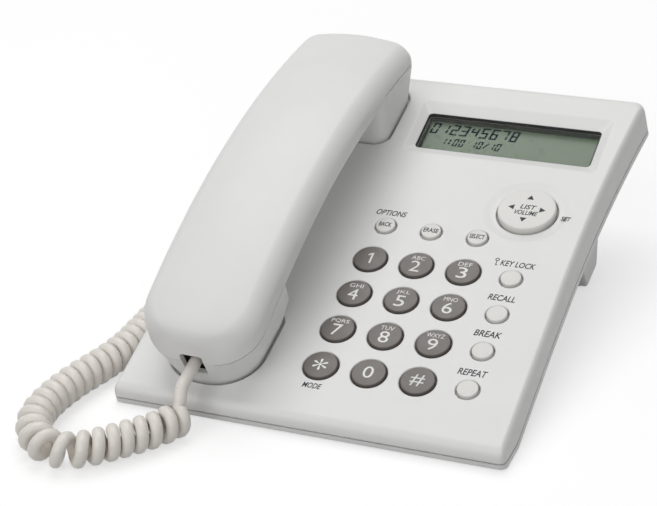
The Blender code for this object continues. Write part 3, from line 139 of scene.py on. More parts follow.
# Handset, drawn along y from its mouth end
HANDSET_AT = Vector((-0.0424, 0.0080, 0.0))
HANDSET_TURN = math.radians(-1.3)
HANDSET_PIVOT = 0.0380
HANDSET_LENGTH = 0.1830
MOUTH_WIDTH = 0.0476
EAR_WIDTH = 0.0494
CROWN = 0.0362
CROWN_MIDDLE = 0.0860
CROWN_RADIUS = 0.325
PARTING = 0.0270
PARTING_MIDDLE = 0.0930
PARTING_RADIUS = 0.313
CAMBER = 0.0034
CROWN_SHARES = (0.75, 0.5, 0.25)
SHOULDER = 0.0060
MOUTH_END_RADIUS = 0.0172
EAR_END_RADIUS = 0.0086
END_TOP_RADIUS = 0.0056
HANDSET_WALL = 0.0022
SEAM = 0.0005
SEAM_EDGE = 0.00025
GRIP_DEPTH = 0.0080
GRIP_INSET = 0.0014
GRIP_ROUND = 0.0060
CUPS = ("mouth", "ear")
CUP_INSET = 0.0002
CUP_SINK = 0.0030
CUP_EDGE = 0.0011
CUP_INNER_CORNER = 0.0060
MOUTH_CUP_LENGTH = 0.0420
MOUTH_CUP_TAPER = 0.0062
MOUTH_CUP_LEAN = 0.0027
EAR_CUP_LENGTH = 0.0405
EAR_CUP_TAPER = 0.0024
EAR_CUP_LEAN = 0.0056
WELL_GAP = 0.0008
WELL_BOTTOM = -0.0033
WELL_FLOOR = 0.0020
ROUND_SHARE = 0.9
NOTCH_WIDTH = 0.0092
NOTCH_DEPTH = 0.0085
NOTCH_LOW = 0.0060
NOTCH_HIGH = 0.0165
NOTCH_CORNER = 0.0012
SLOT_LENGTH = 0.0110
SLOT_WIDTH = 0.0014
SLOT_PITCH = 0.0030
EAR_SLOTS = 5
MICROPHONE_SLOTS = 3
SLOT_ROUND_SHARE = 0.49
MICROPHONE_Y = 0.0315

# Jacks, hook and screws
PLUG_WIDTH = 0.0062
PLUG_LENGTH = 0.0110
PLUG_HEIGHT = 0.0052
PLUG_EDGE = 0.0002
CONTACTS = 4
CONTACT_PITCH = 0.00102
CONTACT_WIRE = 0.0005
CONTACT_SPACING = 0.0008
GROOVE_HALF = 0.0002
HANDSET_JACK_Z = 0.0108
BASE_JACK_Y = 0.1120
BASE_JACK_Z = -0.0068
BASE_JACK_SET = 0.0050
LINE_JACK_WIDTH = 0.0100
LINE_JACK_HEIGHT = 0.0068
LINE_JACK_Z = -0.0090
HOOK_WIDTH = 0.0080
HOOK_DEPTH = 0.0120
HOOK_TRAVEL = 0.0030
HOOK_FLANGE = 0.0010
HOOK_FLANGE_REACH = 0.0015
HOOK_EDGE = 0.0008
HANGER_WIDTH = 0.0120
HANGER_THICKNESS = 0.0024
HANGER_DROP = 0.0050
HANGER_GAP = 0.0050
HANGER_EDGE = 0.0004
SPEAKER_X = 0.0430
SPEAKER_Y = 0.1720
SPEAKER_SLOTS = 5
SCREW_X = 0.0700
SCREW_YS = (0.0580, 0.1400)
SCREW_SHANK = 0.0026
SCREW_HEAD = 0.0054
SCREW_HEAD_HEIGHT = 0.0012
SCREW_HEAD_ROUND = 0.0005
SCREW_LENGTH = 0.0060
SCREW_STEPS = 28
THREAD_TURNS = 9
THREAD_RISE = 0.00025
THREAD_ROOT_SHARE = 0.84
THREAD_TIP_SHARE = 0.5
CROSS_REACH = 0.0016
CROSS_HALF = 0.00028
CROSS_FLOOR_SHARE = 0.7
CROSS_START = -0.002
CROSS_FLOOR = -0.0003
SCREW_SHELF = 0.0010
SCREW_BOSS = 0.0084

# Bend of a contact in the line jack: how far in from the wall, and down from the jack's top
CONTACT_BEND = ((0.0010, 0.0006), (0.0040, 0.0012), (0.0090, 0.0046))

# Desk stand
STAND_WIDTH = 0.1410
STAND_FRONT_TOP = 0.1180
STAND_REAR_TOP = 0.1510
STAND_FOOT_FRONT = 0.1300
STAND_FOOT_REAR = 0.1460
STAND_REAR_DROP = 0.0400
STAND_SOLE_RISE = 0.0024
STAND_FOOT_PROUD = 0.0014
STAND_EDGE = 0.0020
STAND_SIDE_EDGE = 0.0012
FOOT_DIAMETER = 0.0090
FOOT_SEAT = 0.0009
FRONT_FOOT_X = 0.0600
FRONT_FOOT_Y = 0.0070
STAND_FOOT_X = 0.0650

# Curly cord, in the frame of the desk itself
COIL_RADIUS = 0.0045
COIL_TURNS = 28.5
COIL_POINTS = 16
COIL_HEIGHT = 0.0071
COIL_AXIS = (
    (-0.0430, -0.1069), (-0.0468, -0.1142), (-0.0516, -0.1205), (-0.0576, -0.1270), (-0.0641, -0.1333),
    (-0.0706, -0.1377), (-0.0776, -0.1390), (-0.0846, -0.1363), (-0.0902, -0.1308), (-0.0938, -0.1235),
    (-0.0951, -0.1150), (-0.0945, -0.1050), (-0.0924, -0.0940), (-0.0892, -0.0835), (-0.0866, -0.0735),
    (-0.0854, -0.0640), (-0.0851, -0.0545), (-0.0850, -0.0460), (-0.0850, -0.0380))
HANDSET_TAIL = (-0.0427, -0.1055, 0.0146)
BASE_TAIL = (
    (-0.0802, -0.0362, 0.0024), (-0.0772, -0.0310, 0.0024), (-0.0772, -0.0230, 0.0024),
    (-0.0795, -0.0140, 0.0024), (-0.0825, -0.0060, 0.0027), (-0.0848, 0.0000, 0.0046),
    (-0.0860, 0.0048, 0.0085), (-0.0865, 0.0085, 0.0135), (-0.0866, 0.0106, 0.0195),
    (-0.0864, 0.0114, 0.0258), (-0.0852, 0.0115, 0.0305), (-0.0822, 0.0115, 0.0340))
HANDSET_STUB = 0.0063
BASE_STUB = 0.0018
COIL_AXIS_SPACING = 0.0005
HANDSET_TAIL_SPACING = 0.0025
BASE_TAIL_SPACING = 0.0035

# Stage
CAMERA_LENS = 102.45
CAMERA_SENSOR = 36.0
CAMERA_AT = Vector((0.2359, -0.6177, 0.3725))
CAMERA_ACROSS = Vector((0.9288, 0.3676, -0.0466))
CAMERA_DOWN = Vector((0.1314, -0.4443, -0.8862))
CAMERA_AHEAD = Vector((-0.3465, 0.8170, -0.4610))
SKY_LIGHT = 0.27
FLOOR_GLOW = 0.60
FLOOR_REACH = 6.0

# Lamps: name, place, the height over the middle that they point at, size and power
LAMPS = (("key_light", (-0.20, 0.36, 1.25), 0.02, 1.2, 7.8),
         ("left_light", (-0.45, -1.15, 0.85), 0.03, 1.0, 4.8),
         ("right_light", (0.50, -1.10, 0.70), 0.03, 1.0, 2.3))

# Stretch of a noise value that carries its changes
NOISE_RANGE = (0.3, 0.7)

# Places of base and handset on the desk
LAID_AT = Vector((0.0, -0.096801, 0.008048))
LAID = Matrix.Translation(LAID_AT) @ Matrix.Rotation(TILT, 4, "X")
HANDSET_SET = (Matrix.Translation(HANDSET_AT + Vector((0.0, HANDSET_PIVOT, 0.0)))
               @ Matrix.Rotation(HANDSET_TURN, 4, "Z") @ Matrix.Translation((0.0, -HANDSET_PIVOT, 0.0)))
HANDSET_LAID = LAID @ HANDSET_SET

# Keys by name, the dial's with their letters
DIAL = (("1", ""), ("2", "ABC"), ("3", "DEF"), ("4", "GHI"), ("5", "JKL"), ("6", "MNO"),
        ("7", "PQRS"), ("8", "TUV"), ("9", "WXYZ"), ("star", ""), ("0", ""), ("hash", ""))
SIDE_KEYS = ("lock_key", "flash_key", "pause_key", "redial_key")

# Small keys with their words and half the width of each word
SMALL_KEYS = (("exit_key", "BACK", 0.0026), ("clear_key", "ERASE", 0.0030), ("enter_key", "SELECT", 0.0030))
SMALL_WORD_HALF_HEIGHT = 0.0012
SMALL_WORD_BOLD = 0.018

# Words printed on the base: left, right, baseline and top
PRINT = (("OPTIONS", -0.0077, 0.0049, 0.1090, 0.1120), ("KEY LOCK", 0.0493, 0.0630, 0.0903, 0.0933),
         ("RECALL", 0.0497, 0.0603, 0.0720, 0.0751), ("BREAK", 0.0498, 0.0603, 0.0532, 0.0563),
         ("REPEAT", 0.0495, 0.0606, 0.0336, 0.0367), ("MODE", -0.0050, 0.0023, 0.0157, 0.0183),
         ("SET", 0.0657, 0.0697, 0.1186, 0.1209))
WORD_BOLD = 0.014
WORD_LEAN = 0.2

# Sign of a key beside the lock key's word: ring, and left, right, front and rear of stem and tooth
SIGN_RING_AT = (0.04765, 0.0932)
SIGN_RING = 0.00085
SIGN_HOLE = 0.0005
SIGN_STEM = (0.0475, 0.0478, 0.0900, 0.0925)
SIGN_TOOTH = (0.0478, 0.0483, 0.0901, 0.0905)

# Words on the four-way key about its middle: left, right, baseline and top; and its rear arrow
NAV_WORDS = (("LIST", -0.0028, 0.0036, -0.0004, 0.0021), ("VOLUME", -0.0044, 0.0050, -0.0037, -0.0012))
NAV_WORD_BOLD = 0.016
NAV_ARROW = ((-0.0014, 0.0052), (0.0014, 0.0052), (0.0, 0.0076))

# Print on a dial key about its middle: middles of the figures, widths, and the letters behind a figure
FIGURE_Y_WITH_LETTERS = -0.0012
FIGURE_Y_ALONE = -0.0002
FIGURE_WIDTH = 0.0040
SIGNS = {"star": ("*", 0.0056), "hash": ("#", 0.0054)}
LETTERS_BASELINE = 0.0023
LETTER_HALF_WIDTH = 0.00078
LETTERS_MORE = 0.0004

# Outline of the printed figure 1, about its middle
FIGURE_ONE = ((0.0002, -0.0028), (0.0010, -0.0028), (0.0010, 0.0028), (0.0003, 0.0028), (-0.0010, 0.0019),
              (-0.0010, 0.0011), (0.0002, 0.0018))

# Rows of the display: left, right, baseline and top
DISPLAY_ROWS = (("012345678", -0.0036, 0.0352, 0.1664, 0.1721),
                ("1:00 10/10", 0.0028, 0.0290, 0.1597, 0.1637))

# A display figure's width as a share of its pitch and at most of its height, and shares of that height
FIGURE_PITCH_SHARE = 0.54
FIGURE_WIDTH_SHARE = 0.5
BAR_SHARE = 0.15
COLON_SHARE = 0.22

# A colon's dot against a bar
DOT_SHARE = 1.4

# Lit bars of a seven-bar figure: t top, m middle, e bottom, a and c left, b and d right
BARS = {"0": "tacbde", "1": "bd", "2": "tbmce", "3": "tbmde", "4": "ambd", "5": "tamde",
        "6": "tamcde", "7": "tbd", "8": "tambcde", "9": "tambde"}


def colour_property(name, description, default):
    return FloatVectorProperty(name=name, description=description, subtype="COLOR", size=3,
                               min=0.0, max=1.0, default=default)


def size_property(name, description, default):
    return FloatProperty(name=name, description=description, unit="LENGTH", min=0.0,
                         precision=5, default=default)


class PhoneColours(bpy.types.PropertyGroup):
    """Colours of the phone and its stage."""
    body: colour_property("Body", "Housings of base, stand and handset", (0.80, 0.80, 0.79))
    white_key: colour_property("White keys", "Side, small and four-way keys", (0.76, 0.75, 0.72))
    grey_key: colour_property("Grey keys", "Twelve dial keys", (0.144, 0.129, 0.117))
    figure: colour_property("Figures", "Print on the grey keys", (0.86, 0.86, 0.84))
    print_ink: colour_property("Print", "Words on base and white keys", (0.070, 0.072, 0.078))
    display: colour_property("Display", "Ground of the display", (0.225, 0.305, 0.210))
    segment: colour_property("Segments", "Lit figures of the display", (0.006, 0.008, 0.020))
    # Dark edge of the display: partly its own dark border, partly painted shade of the recessed window
    border_with_painted_shade: colour_property("Border", "Dark edge of the display", (0.095, 0.100, 0.086))
    lens: colour_property("Lens", "Clear display lens", (0.030, 0.036, 0.030))
    cord: colour_property("Cord", "Curly cord", (0.83, 0.79, 0.735))
    plug: colour_property("Plug", "Clear modular plugs", (0.74, 0.75, 0.74))
    dark: colour_property("Dark plastic", "Jacks, switch and capsules", (0.035, 0.036, 0.038))
    rubber: colour_property("Rubber", "Feet", (0.045, 0.045, 0.045))
    mat: colour_property("Key mat", "Rubber under the keys", (0.33, 0.34, 0.35))
    board: colour_property("Board", "Circuit board", (0.035, 0.17, 0.07))
    steel: colour_property("Steel", "Screws, spring and weight", (0.58, 0.58, 0.57))
    contact: colour_property("Contacts", "Wires in the line jack", (0.80, 0.58, 0.24))
    floor: colour_property("Floor", "Ground under the phone", (0.50, 0.50, 0.50))


class PhoneSizes(bpy.types.PropertyGroup):
    """Sizes of wire, keys, roundings and print."""
    wire: size_property("Wire", "Diameter of the cord", 0.00475)
    hole_round: size_property("Hole rounding", "Rounding round the key holes", 0.0007)
    well_round: size_property("Well rounding", "Rounding of the handset's wells", 0.0010)
    key_diameter: size_property("Dial key", "Diameter of a dial key", 0.0127)
    key_proud: size_property("Dial key height", "Dial key above the base", 0.0010)
    side_diameter: size_property("Side key", "Diameter of a side key", 0.0079)
    small_diameter: size_property("Small key", "Diameter of a small key", 0.0077)
    small_proud: size_property("Small key height", "White key above the base", 0.0011)
    key_round: size_property("Key rounding", "Rounding of a key's edge", 0.0003)
    nav_round: size_property("Four-way rounding", "Rounding of the four-way key", 0.0008)
    print_height: size_property("Print height", "Thickness of the printed words", 0.00004)
    figure_height: size_property("Figure height", "Height of a dial figure", 0.0056)
    letter_height: size_property("Letter height", "Height of a dial key's letters", 0.0021)
    slant: FloatProperty(name="Slant", description="Lean of the display's figures", subtype="ANGLE",
                         default=math.radians(8.0))
    turn_steps: IntProperty(name="Turned steps", description="Steps round a turned piece",
                            min=12, max=128, default=64)
    wire_sides: IntProperty(name="Wire sides", description="Sides of the cord's tube",
                            min=6, max=24, default=14)


def sizes():
    return bpy.context.scene.phone_sizes


def colours():
    return bpy.context.scene.phone_colours


# Node trees that make turned, repeated and swept forms

def new_tree(name, inputs):
    """An empty tree with geometry, the named inputs and a material."""
    tree = bpy.data.node_groups.new(name, "GeometryNodeTree")
    tree.interface.new_socket("Geometry", in_out="INPUT", socket_type="NodeSocketGeometry")
    for label, kind in inputs + (("Material", "NodeSocketMaterial"),):
        tree.interface.new_socket(label, in_out="INPUT", socket_type=kind)
    tree.interface.new_socket("Geometry", in_out="OUTPUT", socket_type="NodeSocketGeometry")
    return tree, tree.nodes.new("NodeGroupInput")


def close_tree(tree, given, made):
    """End a tree in real geometry with its material."""
    real = tree.nodes.new("GeometryNodeRealizeInstances")
    paint = tree.nodes.new("GeometryNodeSetMaterial")
    out = tree.nodes.new("NodeGroupOutput")
    tree.links.new(made, real.inputs["Geometry"])
    tree.links.new(real.outputs["Geometry"], paint.inputs["Geometry"])
    tree.links.new(given.outputs["Material"], paint.inputs["Material"])
    tree.links.new(paint.outputs["Geometry"], out.inputs["Geometry"])
    return tree


def reckon(tree, operation, first, second=0.0):
    """One sum in a tree, of sockets or plain numbers."""
    node = tree.nodes.new("ShaderNodeMath")
    node.operation = operation
    for value, socket in zip((first, second), node.inputs):
        if isinstance(value, bpy.types.NodeSocket):
            tree.links.new(value, socket)
        else:
            socket.default_value = value
    return node.outputs[0]


def turned_tree():
    """A line of points in x and z turned about the upright axis."""
    tree, given = new_tree("Turned form", (("Steps", "NodeSocketInt"),))
    node, link = tree.nodes.new, tree.links.new
    size = node("GeometryNodeAttributeDomainSize")
    link(given.outputs["Geometry"], size.inputs["Geometry"])
    count = size.outputs["Point Count"]
    grid = node("GeometryNodeMeshGrid")
    link(reckon(tree, "ADD", given.outputs["Steps"], 1.0), grid.inputs["Vertices X"])
    link(count, grid.inputs["Vertices Y"])
    index = node("GeometryNodeInputIndex").outputs["Index"]
    column = reckon(tree, "FLOOR", reckon(tree, "DIVIDE", index, count))
    angle = reckon(tree, "MULTIPLY", reckon(tree, "DIVIDE", column, given.outputs["Steps"]), math.tau)
    sample = node("GeometryNodeSampleIndex")
    sample.data_type = "FLOAT_VECTOR"
    link(given.outputs["Geometry"], sample.inputs["Geometry"])
    link(node("GeometryNodeInputPosition").outputs["Position"], sample.inputs["Value"])
    link(reckon(tree, "MODULO", index, count), sample.inputs["Index"])
    turn = node("ShaderNodeVectorRotate")
    turn.rotation_type = "Z_AXIS"
    link(sample.outputs["Value"], turn.inputs["Vector"])
    link(angle, turn.inputs["Angle"])
    move = node("GeometryNodeSetPosition")
    link(grid.outputs["Mesh"], move.inputs["Geometry"])
    link(turn.outputs["Vector"], move.inputs["Position"])
    merge = node("GeometryNodeMergeByDistance")
    merge.inputs["Distance"].default_value = 1e-6
    link(move.outputs["Geometry"], merge.inputs["Geometry"])
    return close_tree(tree, given, merge.outputs["Geometry"])


def repeated_tree():
    """One shape set on every point."""
    tree, given = new_tree("Repeated form", (("Shape", "NodeSocketObject"),))
    info = tree.nodes.new("GeometryNodeObjectInfo")
    tree.links.new(given.outputs["Shape"], info.inputs["Object"])
    spots = tree.nodes.new("GeometryNodeInstanceOnPoints")
    tree.links.new(given.outputs["Geometry"], spots.inputs["Points"])
    tree.links.new(info.outputs["Geometry"], spots.inputs["Instance"])
    return close_tree(tree, given, spots.outputs["Instances"])


def wire_tree():
    """A round wire along a line of points."""
    tree, given = new_tree("Wire", (("Diameter", "NodeSocketFloat"), ("Sides", "NodeSocketInt")))
    line = tree.nodes.new("GeometryNodeMeshToCurve")
    ring = tree.nodes.new("GeometryNodeCurvePrimitiveCircle")
    sweep = tree.nodes.new("GeometryNodeCurveToMesh")
    sweep.inputs["Fill Caps"].default_value = True
    tree.links.new(given.outputs["Geometry"], line.inputs["Mesh"])
    tree.links.new(given.outputs["Sides"], ring.inputs["Resolution"])
    tree.links.new(reckon(tree, "DIVIDE", given.outputs["Diameter"], 2.0), ring.inputs["Radius"])
    tree.links.new(line.outputs["Curve"], sweep.inputs["Curve"])
    tree.links.new(ring.outputs["Curve"], sweep.inputs["Profile Curve"])
    return close_tree(tree, given, sweep.outputs["Mesh"])


def tree_named(name):
    makers = {"Turned form": turned_tree, "Repeated form": repeated_tree, "Wire": wire_tree}
    return bpy.data.node_groups.get(name) or makers[name]()


# Meshes

def new_object(mesh):
    thing = bpy.data.objects.new(mesh.name, mesh)
    bpy.context.scene.collection.objects.link(thing)
    return thing


def settle(thing):
    """Make what an object's modifiers give its plain mesh."""
    graph = bpy.context.evaluated_depsgraph_get()
    mesh = bpy.data.meshes.new_from_object(thing.evaluated_get(graph))
    thing.modifiers.clear()
    old = thing.data
    thing.data = mesh
    bpy.data.meshes.remove(old)
    if not mesh.polygons:
        raise RuntimeError(f"{thing.name} came out empty")
    return thing


def grown(tree_name, points, edges, **inputs):
    """A plain mesh grown by a node tree from points and edges."""
    mesh = bpy.data.meshes.new("grown")
    mesh.from_pydata(points, edges, [])
    thing = bpy.data.objects.new("grown", mesh)
    tree = tree_named(tree_name)
    modifier = thing.modifiers.new("form", "NODES")
    modifier.node_group = tree
    for item in tree.interface.items_tree:
        if item.in_out == "INPUT" and item.name in inputs:
            modifier[item.identifier] = inputs[item.name]
    bpy.context.scene.collection.objects.link(thing)
    return settle(thing)


def chain(count):
    """Edges that join points in a row."""
    return [(index, index + 1) for index in range(count - 1)]


def turned(profile, steps=None):
    """A profile of radius and height turned about the upright axis."""
    points = [(radius, 0.0, height) for radius, height in profile]
    return grown("Turned form", points, chain(len(points)), Steps=steps or sizes().turn_steps)


def repeated(shape, places):
    """A shape set at every place; the shape itself is used up."""
    made = grown("Repeated form", places, [], Shape=shape)
    bpy.data.objects.remove(shape, do_unlink=True)
    return made


def solid(bm):
    """A bmesh as an object with its faces pointing out."""
    bmesh.ops.recalc_face_normals(bm, faces=bm.faces[:])
    mesh = bpy.data.meshes.new("form")
    bm.to_mesh(mesh)
    bm.free()
    return new_object(mesh)


def loft(rings):
    """A solid through rings of as many points each, with flat ends."""
    bm = bmesh.new()
    loops = [[bm.verts.new(point) for point in ring] for ring in rings]
    for low, high in zip(loops, loops[1:]):
        for index in range(len(low)):
            after = (index + 1) % len(low)
            bm.faces.new((low[index], low[after], high[after], high[index]))
    bm.faces.new(loops[0])
    bm.faces.new(loops[-1])
    return solid(bm)


def prism(outline, z0, z1):
    """An outline in x and y run up from z0 to z1."""
    return loft([[(x, y, z) for x, y in outline] for z in (z0, z1)])


def block(x0, x1, y0, y1, z0, z1):
    return prism([(x0, y0), (x1, y0), (x1, y1), (x0, y1)], z0, z1)


def slab(side, x0, x1):
    """An outline in y and z run across from x0 to x1."""
    return loft([[(x, y, z) for y, z in side] for x in (x0, x1)])


def moved(thing, offset):
    thing.data.transform(Matrix.Translation(offset))
    return thing


def combine(body, operation, tools):
    for tool in tools:
        modifier = body.modifiers.new("combine", "BOOLEAN")
        modifier.operation = operation
        modifier.solver = "EXACT"
        modifier.object = tool
        settle(body)
        bpy.data.objects.remove(tool, do_unlink=True)
    return body


def cut(body, *tools):
    return combine(body, "DIFFERENCE", tools)


def join(body, *tools):
    return combine(body, "UNION", tools)


def bevelled(thing, width, segments=3, angle=50.0):
    """Round every edge that is sharper than the angle."""
    modifier = thing.modifiers.new("edges", "BEVEL")
    modifier.width = width
    modifier.segments = segments
    modifier.limit_method = "ANGLE"
    modifier.angle_limit = math.radians(angle)
    return settle(thing)


def gathered(things):
    """Several objects as one."""
    bm = bmesh.new()
    for thing in things:
        bm.from_mesh(thing.data)
        bpy.data.objects.remove(thing, do_unlink=True)
    mesh = bpy.data.meshes.new("gathered")
    bm.to_mesh(mesh)
    bm.free()
    return new_object(mesh)


def dress(thing, name, place, material, sharp=35.0):
    """Name a made form, set it in its place and give it its finish."""
    mesh = thing.data
    mesh.transform(place)
    mesh.materials.clear()
    mesh.materials.append(material)
    mesh.polygons.foreach_set("material_index", [0] * len(mesh.polygons))
    mesh.shade_smooth()
    mesh.set_sharp_from_angle(angle=math.radians(sharp))
    modifier = thing.modifiers.new("even_normals", "WEIGHTED_NORMAL")
    modifier.keep_sharp = True
    settle(thing)
    thing.name = name
    thing.data.name = name
    return thing


def place_piece(thing, body, slot, *nodes):
    """Let a piece move with a body and stand for its CAD nodes."""
    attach(thing, body)
    if nodes:
        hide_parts(*nodes)
    return thing


# Outlines shared by the pieces

def arc(radius, start, end, steps, centre=(0.0, 0.0)):
    """Points on a circle from one angle to another, in degrees."""
    points = []
    for step in range(steps + 1):
        angle = math.radians(start + (end - start) * step / steps)
        points.append((centre[0] + radius * math.cos(angle), centre[1] + radius * math.sin(angle)))
    return points


def circle(radius, count, centre):
    """A full circle of so many points."""
    return arc(radius, 0, 360 - 360 / count, count - 1, centre)


def rounded(x0, x1, y0, y1, radii, steps):
    """A rectangle with round corners: front left, front right, rear right, rear left."""
    corners = ((x0, y0, 1, 1, 180), (x1, y0, -1, 1, 270), (x1, y1, -1, -1, 0), (x0, y1, 1, -1, 90))
    points = []
    for (x, y, inward_x, inward_y, start), radius in zip(corners, radii):
        centre = (x + inward_x * radius, y + inward_y * radius)
        points += arc(radius, start, start + 90, steps, centre)
    return points


def flare_out(radius, level, steps=6):
    """How a round edge opens outwards up to a level, as growth and height; it ends just past it."""
    lift = FIT / 10
    return [(radius + x, level + z - radius + lift) for x, z in arc(radius, 180, 90, steps)]


def fillet(outline, radii, steps=8):
    """Round the corners of a convex outline."""
    points = []
    for index, radius in enumerate(radii):
        corner = Vector(outline[index])
        if radius == 0:
            points.append(tuple(corner))
            continue
        back = (Vector(outline[index - 1]) - corner).normalized()
        ahead = (Vector(outline[(index + 1) % len(outline)]) - corner).normalized()
        half = back.angle(ahead) / 2
        centre = corner + (back + ahead).normalized() * radius / math.sin(half)
        start = corner + back * radius / math.tan(half) - centre
        end = corner + ahead * radius / math.tan(half) - centre
        for step in range(steps + 1):
            points.append(tuple(centre + start.lerp(end, step / steps).normalized() * radius))
    return points


def toe_end():
    """Where the front slope of the base's underside ends."""
    return (BELLY_HEIGHT - FRONT_HEIGHT) / math.tan(TILT)


def belly(y, lift=0.0):
    """Height of the base's underside, raised by lift."""
    if y < toe_end():
        return lift - FRONT_HEIGHT - y * math.tan(TILT)
    return lift - BELLY_HEIGHT - max(0.0, y - BELLY_START) * BELLY_SLOPE


def table(y):
    """Height of the desk in the base's frame."""
    return -FRONT_HEIGHT - FRONT_LIFT / math.cos(TILT) - y * math.tan(TILT)


def sole(y):
    """Height of the stand's underside."""
    share = (y - STAND_FOOT_FRONT) / (STAND_FOOT_REAR - STAND_FOOT_FRONT)
    return table(y) + STAND_FOOT_PROUD + STAND_SOLE_RISE * share


def beyond_belly(lift, height):
    """All that lies between the raised underside and a level."""
    line = [(y, belly(y, lift)) for y in (-THROUGH, toe_end(), BELLY_START, BASE_DEPTH + FAR)]
    side = [(-FAR, line[0][1])] + line + [(line[-1][0], height), (-FAR, height)]
    return slab(side, -BASE_WIDTH, BASE_WIDTH)


def half_width(y):
    """Half the base's width at its top face; the sides flare to the rear."""
    return BASE_WIDTH / 2 + max(0.0, y - FLARE_START) ** 2 / (2 * FLARE_RADIUS)


def base_ring(z, inset, draw_in, corner, arc_steps=9, flank_steps=12):
    """The base's outline at a level, moved inwards; the sides round off less than the ends."""
    grow = -SIDE_DRAFT * z - inset - draw_in
    side = -SIDE_DRAFT * z - inset - draw_in * SIDE_EDGE_SHARE
    rear = BASE_DEPTH - REAR_DRAFT * z - inset - draw_in
    turn = corner + REAR_CORNER_MORE
    middle = rear - turn
    lean = math.atan((middle - FLARE_START) / FLARE_RADIUS)
    half = arc(corner, -90, 0, arc_steps, (half_width(0.0) + side - corner, corner - grow))
    for step in range(flank_steps):
        y = FLARE_START + (middle - turn * math.sin(lean) - FLARE_START) * step / flank_steps
        half.append((half_width(y) + side, y))
    centre = (half_width(middle) + side - turn / math.cos(lean), middle)
    half += arc(turn, -math.degrees(lean), 90, arc_steps, centre)
    return [(x, y, z) for x, y in half + [(-x, y) for x, y in reversed(half)]]


def base_form(inset, top, bottom, radius, arc_steps):
    """The drafted base with a rounded top edge, drawn in by inset."""
    levels = [(top - radius + z, radius - x) for x, z in arc(radius, 90, 0, arc_steps)]
    rings = []
    for z, draw_in in levels + [(bottom, 0.0)]:
        corner = max(CORNER_RADIUS - inset - draw_in, LEAST_CORNER)
        rings.append(base_ring(z, inset, draw_in, corner))
    return loft(rings)


def lens_outline(growth, steps=6):
    """The lens's outline, grown all round."""
    return rounded(LENS_X - LENS_WIDTH / 2 - growth, LENS_X + LENS_WIDTH / 2 + growth,
                   LENS_Y - LENS_DEPTH / 2 - growth, LENS_Y + LENS_DEPTH / 2 + growth,
                   (max(LENS_CORNER + growth, FIT),) * 4, steps)


def frame_slope():
    """The sloped frame that leads down to the lens, soft at its upper edge, as a cutter."""
    soft = FRAME_SOFT_SHARE
    path = [(0.0, -1.0), (1 - soft, -soft)]
    for step in range(1, FRAME_STEPS + 1):
        share = step / FRAME_STEPS
        path.append((1 - soft + soft * (1 - (1 - share) ** 2) + soft * share ** 2,
                     -soft * (1 - share) ** 2 + FIT / 10 / -LENS_TOP))
    rings = []
    for run, level in path + [(path[-1][0], 1.0)]:
        outline = rounded(LENS_X - LENS_WIDTH / 2 - FIT - FRAME_SIDE_RUN * run,
                          LENS_X + LENS_WIDTH / 2 + FIT + FRAME_SIDE_RUN * run,
                          LENS_Y - LENS_DEPTH / 2 - FIT - FRAME_FRONT_RUN * run,
                          LENS_Y + LENS_DEPTH / 2 + FIT + FRAME_REAR_RUN * run,
                          (LENS_CORNER + FIT,) * 4, 6)
        rings.append([(x, y, -LENS_TOP * level) for x, y in outline])
    return loft(rings)


def handset_half(y):
    return (MOUTH_WIDTH + (EAR_WIDTH - MOUTH_WIDTH) * y / HANDSET_LENGTH) / 2


def crown(y):
    """Height of the handset's arched top, without its camber."""
    return CROWN - (y - CROWN_MIDDLE) ** 2 / (2 * CROWN_RADIUS)


def parting(y):
    """Height of the arched line where the handset's halves meet."""
    return PARTING - (y - PARTING_MIDDLE) ** 2 / (2 * PARTING_RADIUS)


def end_drop(distance, radius):
    """How far a round end falls away at a distance from its tip."""
    if distance >= radius:
        return 0.0
    return radius - math.sqrt(radius ** 2 - (radius - max(distance, 0.0)) ** 2)


def handset_stations(inset, arc_steps=12, straight_steps=34):
    """Places along the handset, closer together round its ends."""
    ends = []
    for radius in (MOUTH_END_RADIUS, EAR_END_RADIUS):
        ends.append([inset + (radius - inset) * (1 - math.cos(math.radians(90.0 * step / arc_steps)))
                     for step in range(arc_steps)])
    run = HANDSET_LENGTH - MOUTH_END_RADIUS - EAR_END_RADIUS
    straight = [MOUTH_END_RADIUS + run * step / straight_steps for step in range(straight_steps + 1)]
    return ends[0] + straight + [HANDSET_LENGTH - y for y in reversed(ends[1])]


def handset_section(y, inset):
    """Half width of the handset at y and the fall of its round end."""
    at_mouth = y < HANDSET_LENGTH / 2
    distance = (y if at_mouth else HANDSET_LENGTH - y) - inset
    radius = MOUTH_END_RADIUS if at_mouth else EAR_END_RADIUS
    half = handset_half(y) - inset - end_drop(distance, radius - inset)
    return half, end_drop(distance, END_TOP_RADIUS - inset)


def upper_form(inset, below, edge=0.0):
    """The top half of the handset from the parting line up."""
    rings = []
    for y in handset_stations(inset):
        half, fall = handset_section(y, inset)
        low = parting(y) - below
        high = crown(y) - inset - fall
        radius = min(SHOULDER - inset, half * ROUND_SHARE, (high - parting(y)) * ROUND_SHARE)
        side = [(half - edge, low), (half, low + max(edge, FIT / 3))]
        side += arc(radius, 0, 90, 10, (half - radius, high - radius))
        side += [((half - radius) * share, high) for share in CROWN_SHARES]
        ring = []
        for x, z in side + [(0.0, high)] + [(-x, z) for x, z in reversed(side)]:
            rise = max(0.0, (z - parting(y)) / (high - parting(y)))
            ring.append((x, y, z + CAMBER * rise * (1 - (x / half) ** 2)))
        rings.append(ring)
    return loft(rings)


def grip_form(inset):
    """The bar of the bottom half, below the parting line."""
    rings = []
    for y in handset_stations(GRIP_INSET + inset):
        half, _ = handset_section(y, GRIP_INSET + inset)
        low = parting(y) - GRIP_DEPTH + inset
        radius = min(GRIP_ROUND - inset, half * ROUND_SHARE)
        side = [(half, parting(y) + THROUGH)] + arc(radius, 0, -90, 8, (half - radius, low + radius))
        rings.append([(x, y, z) for x, z in side + [(-x, z) for x, z in reversed(side)]])
    return loft(rings)


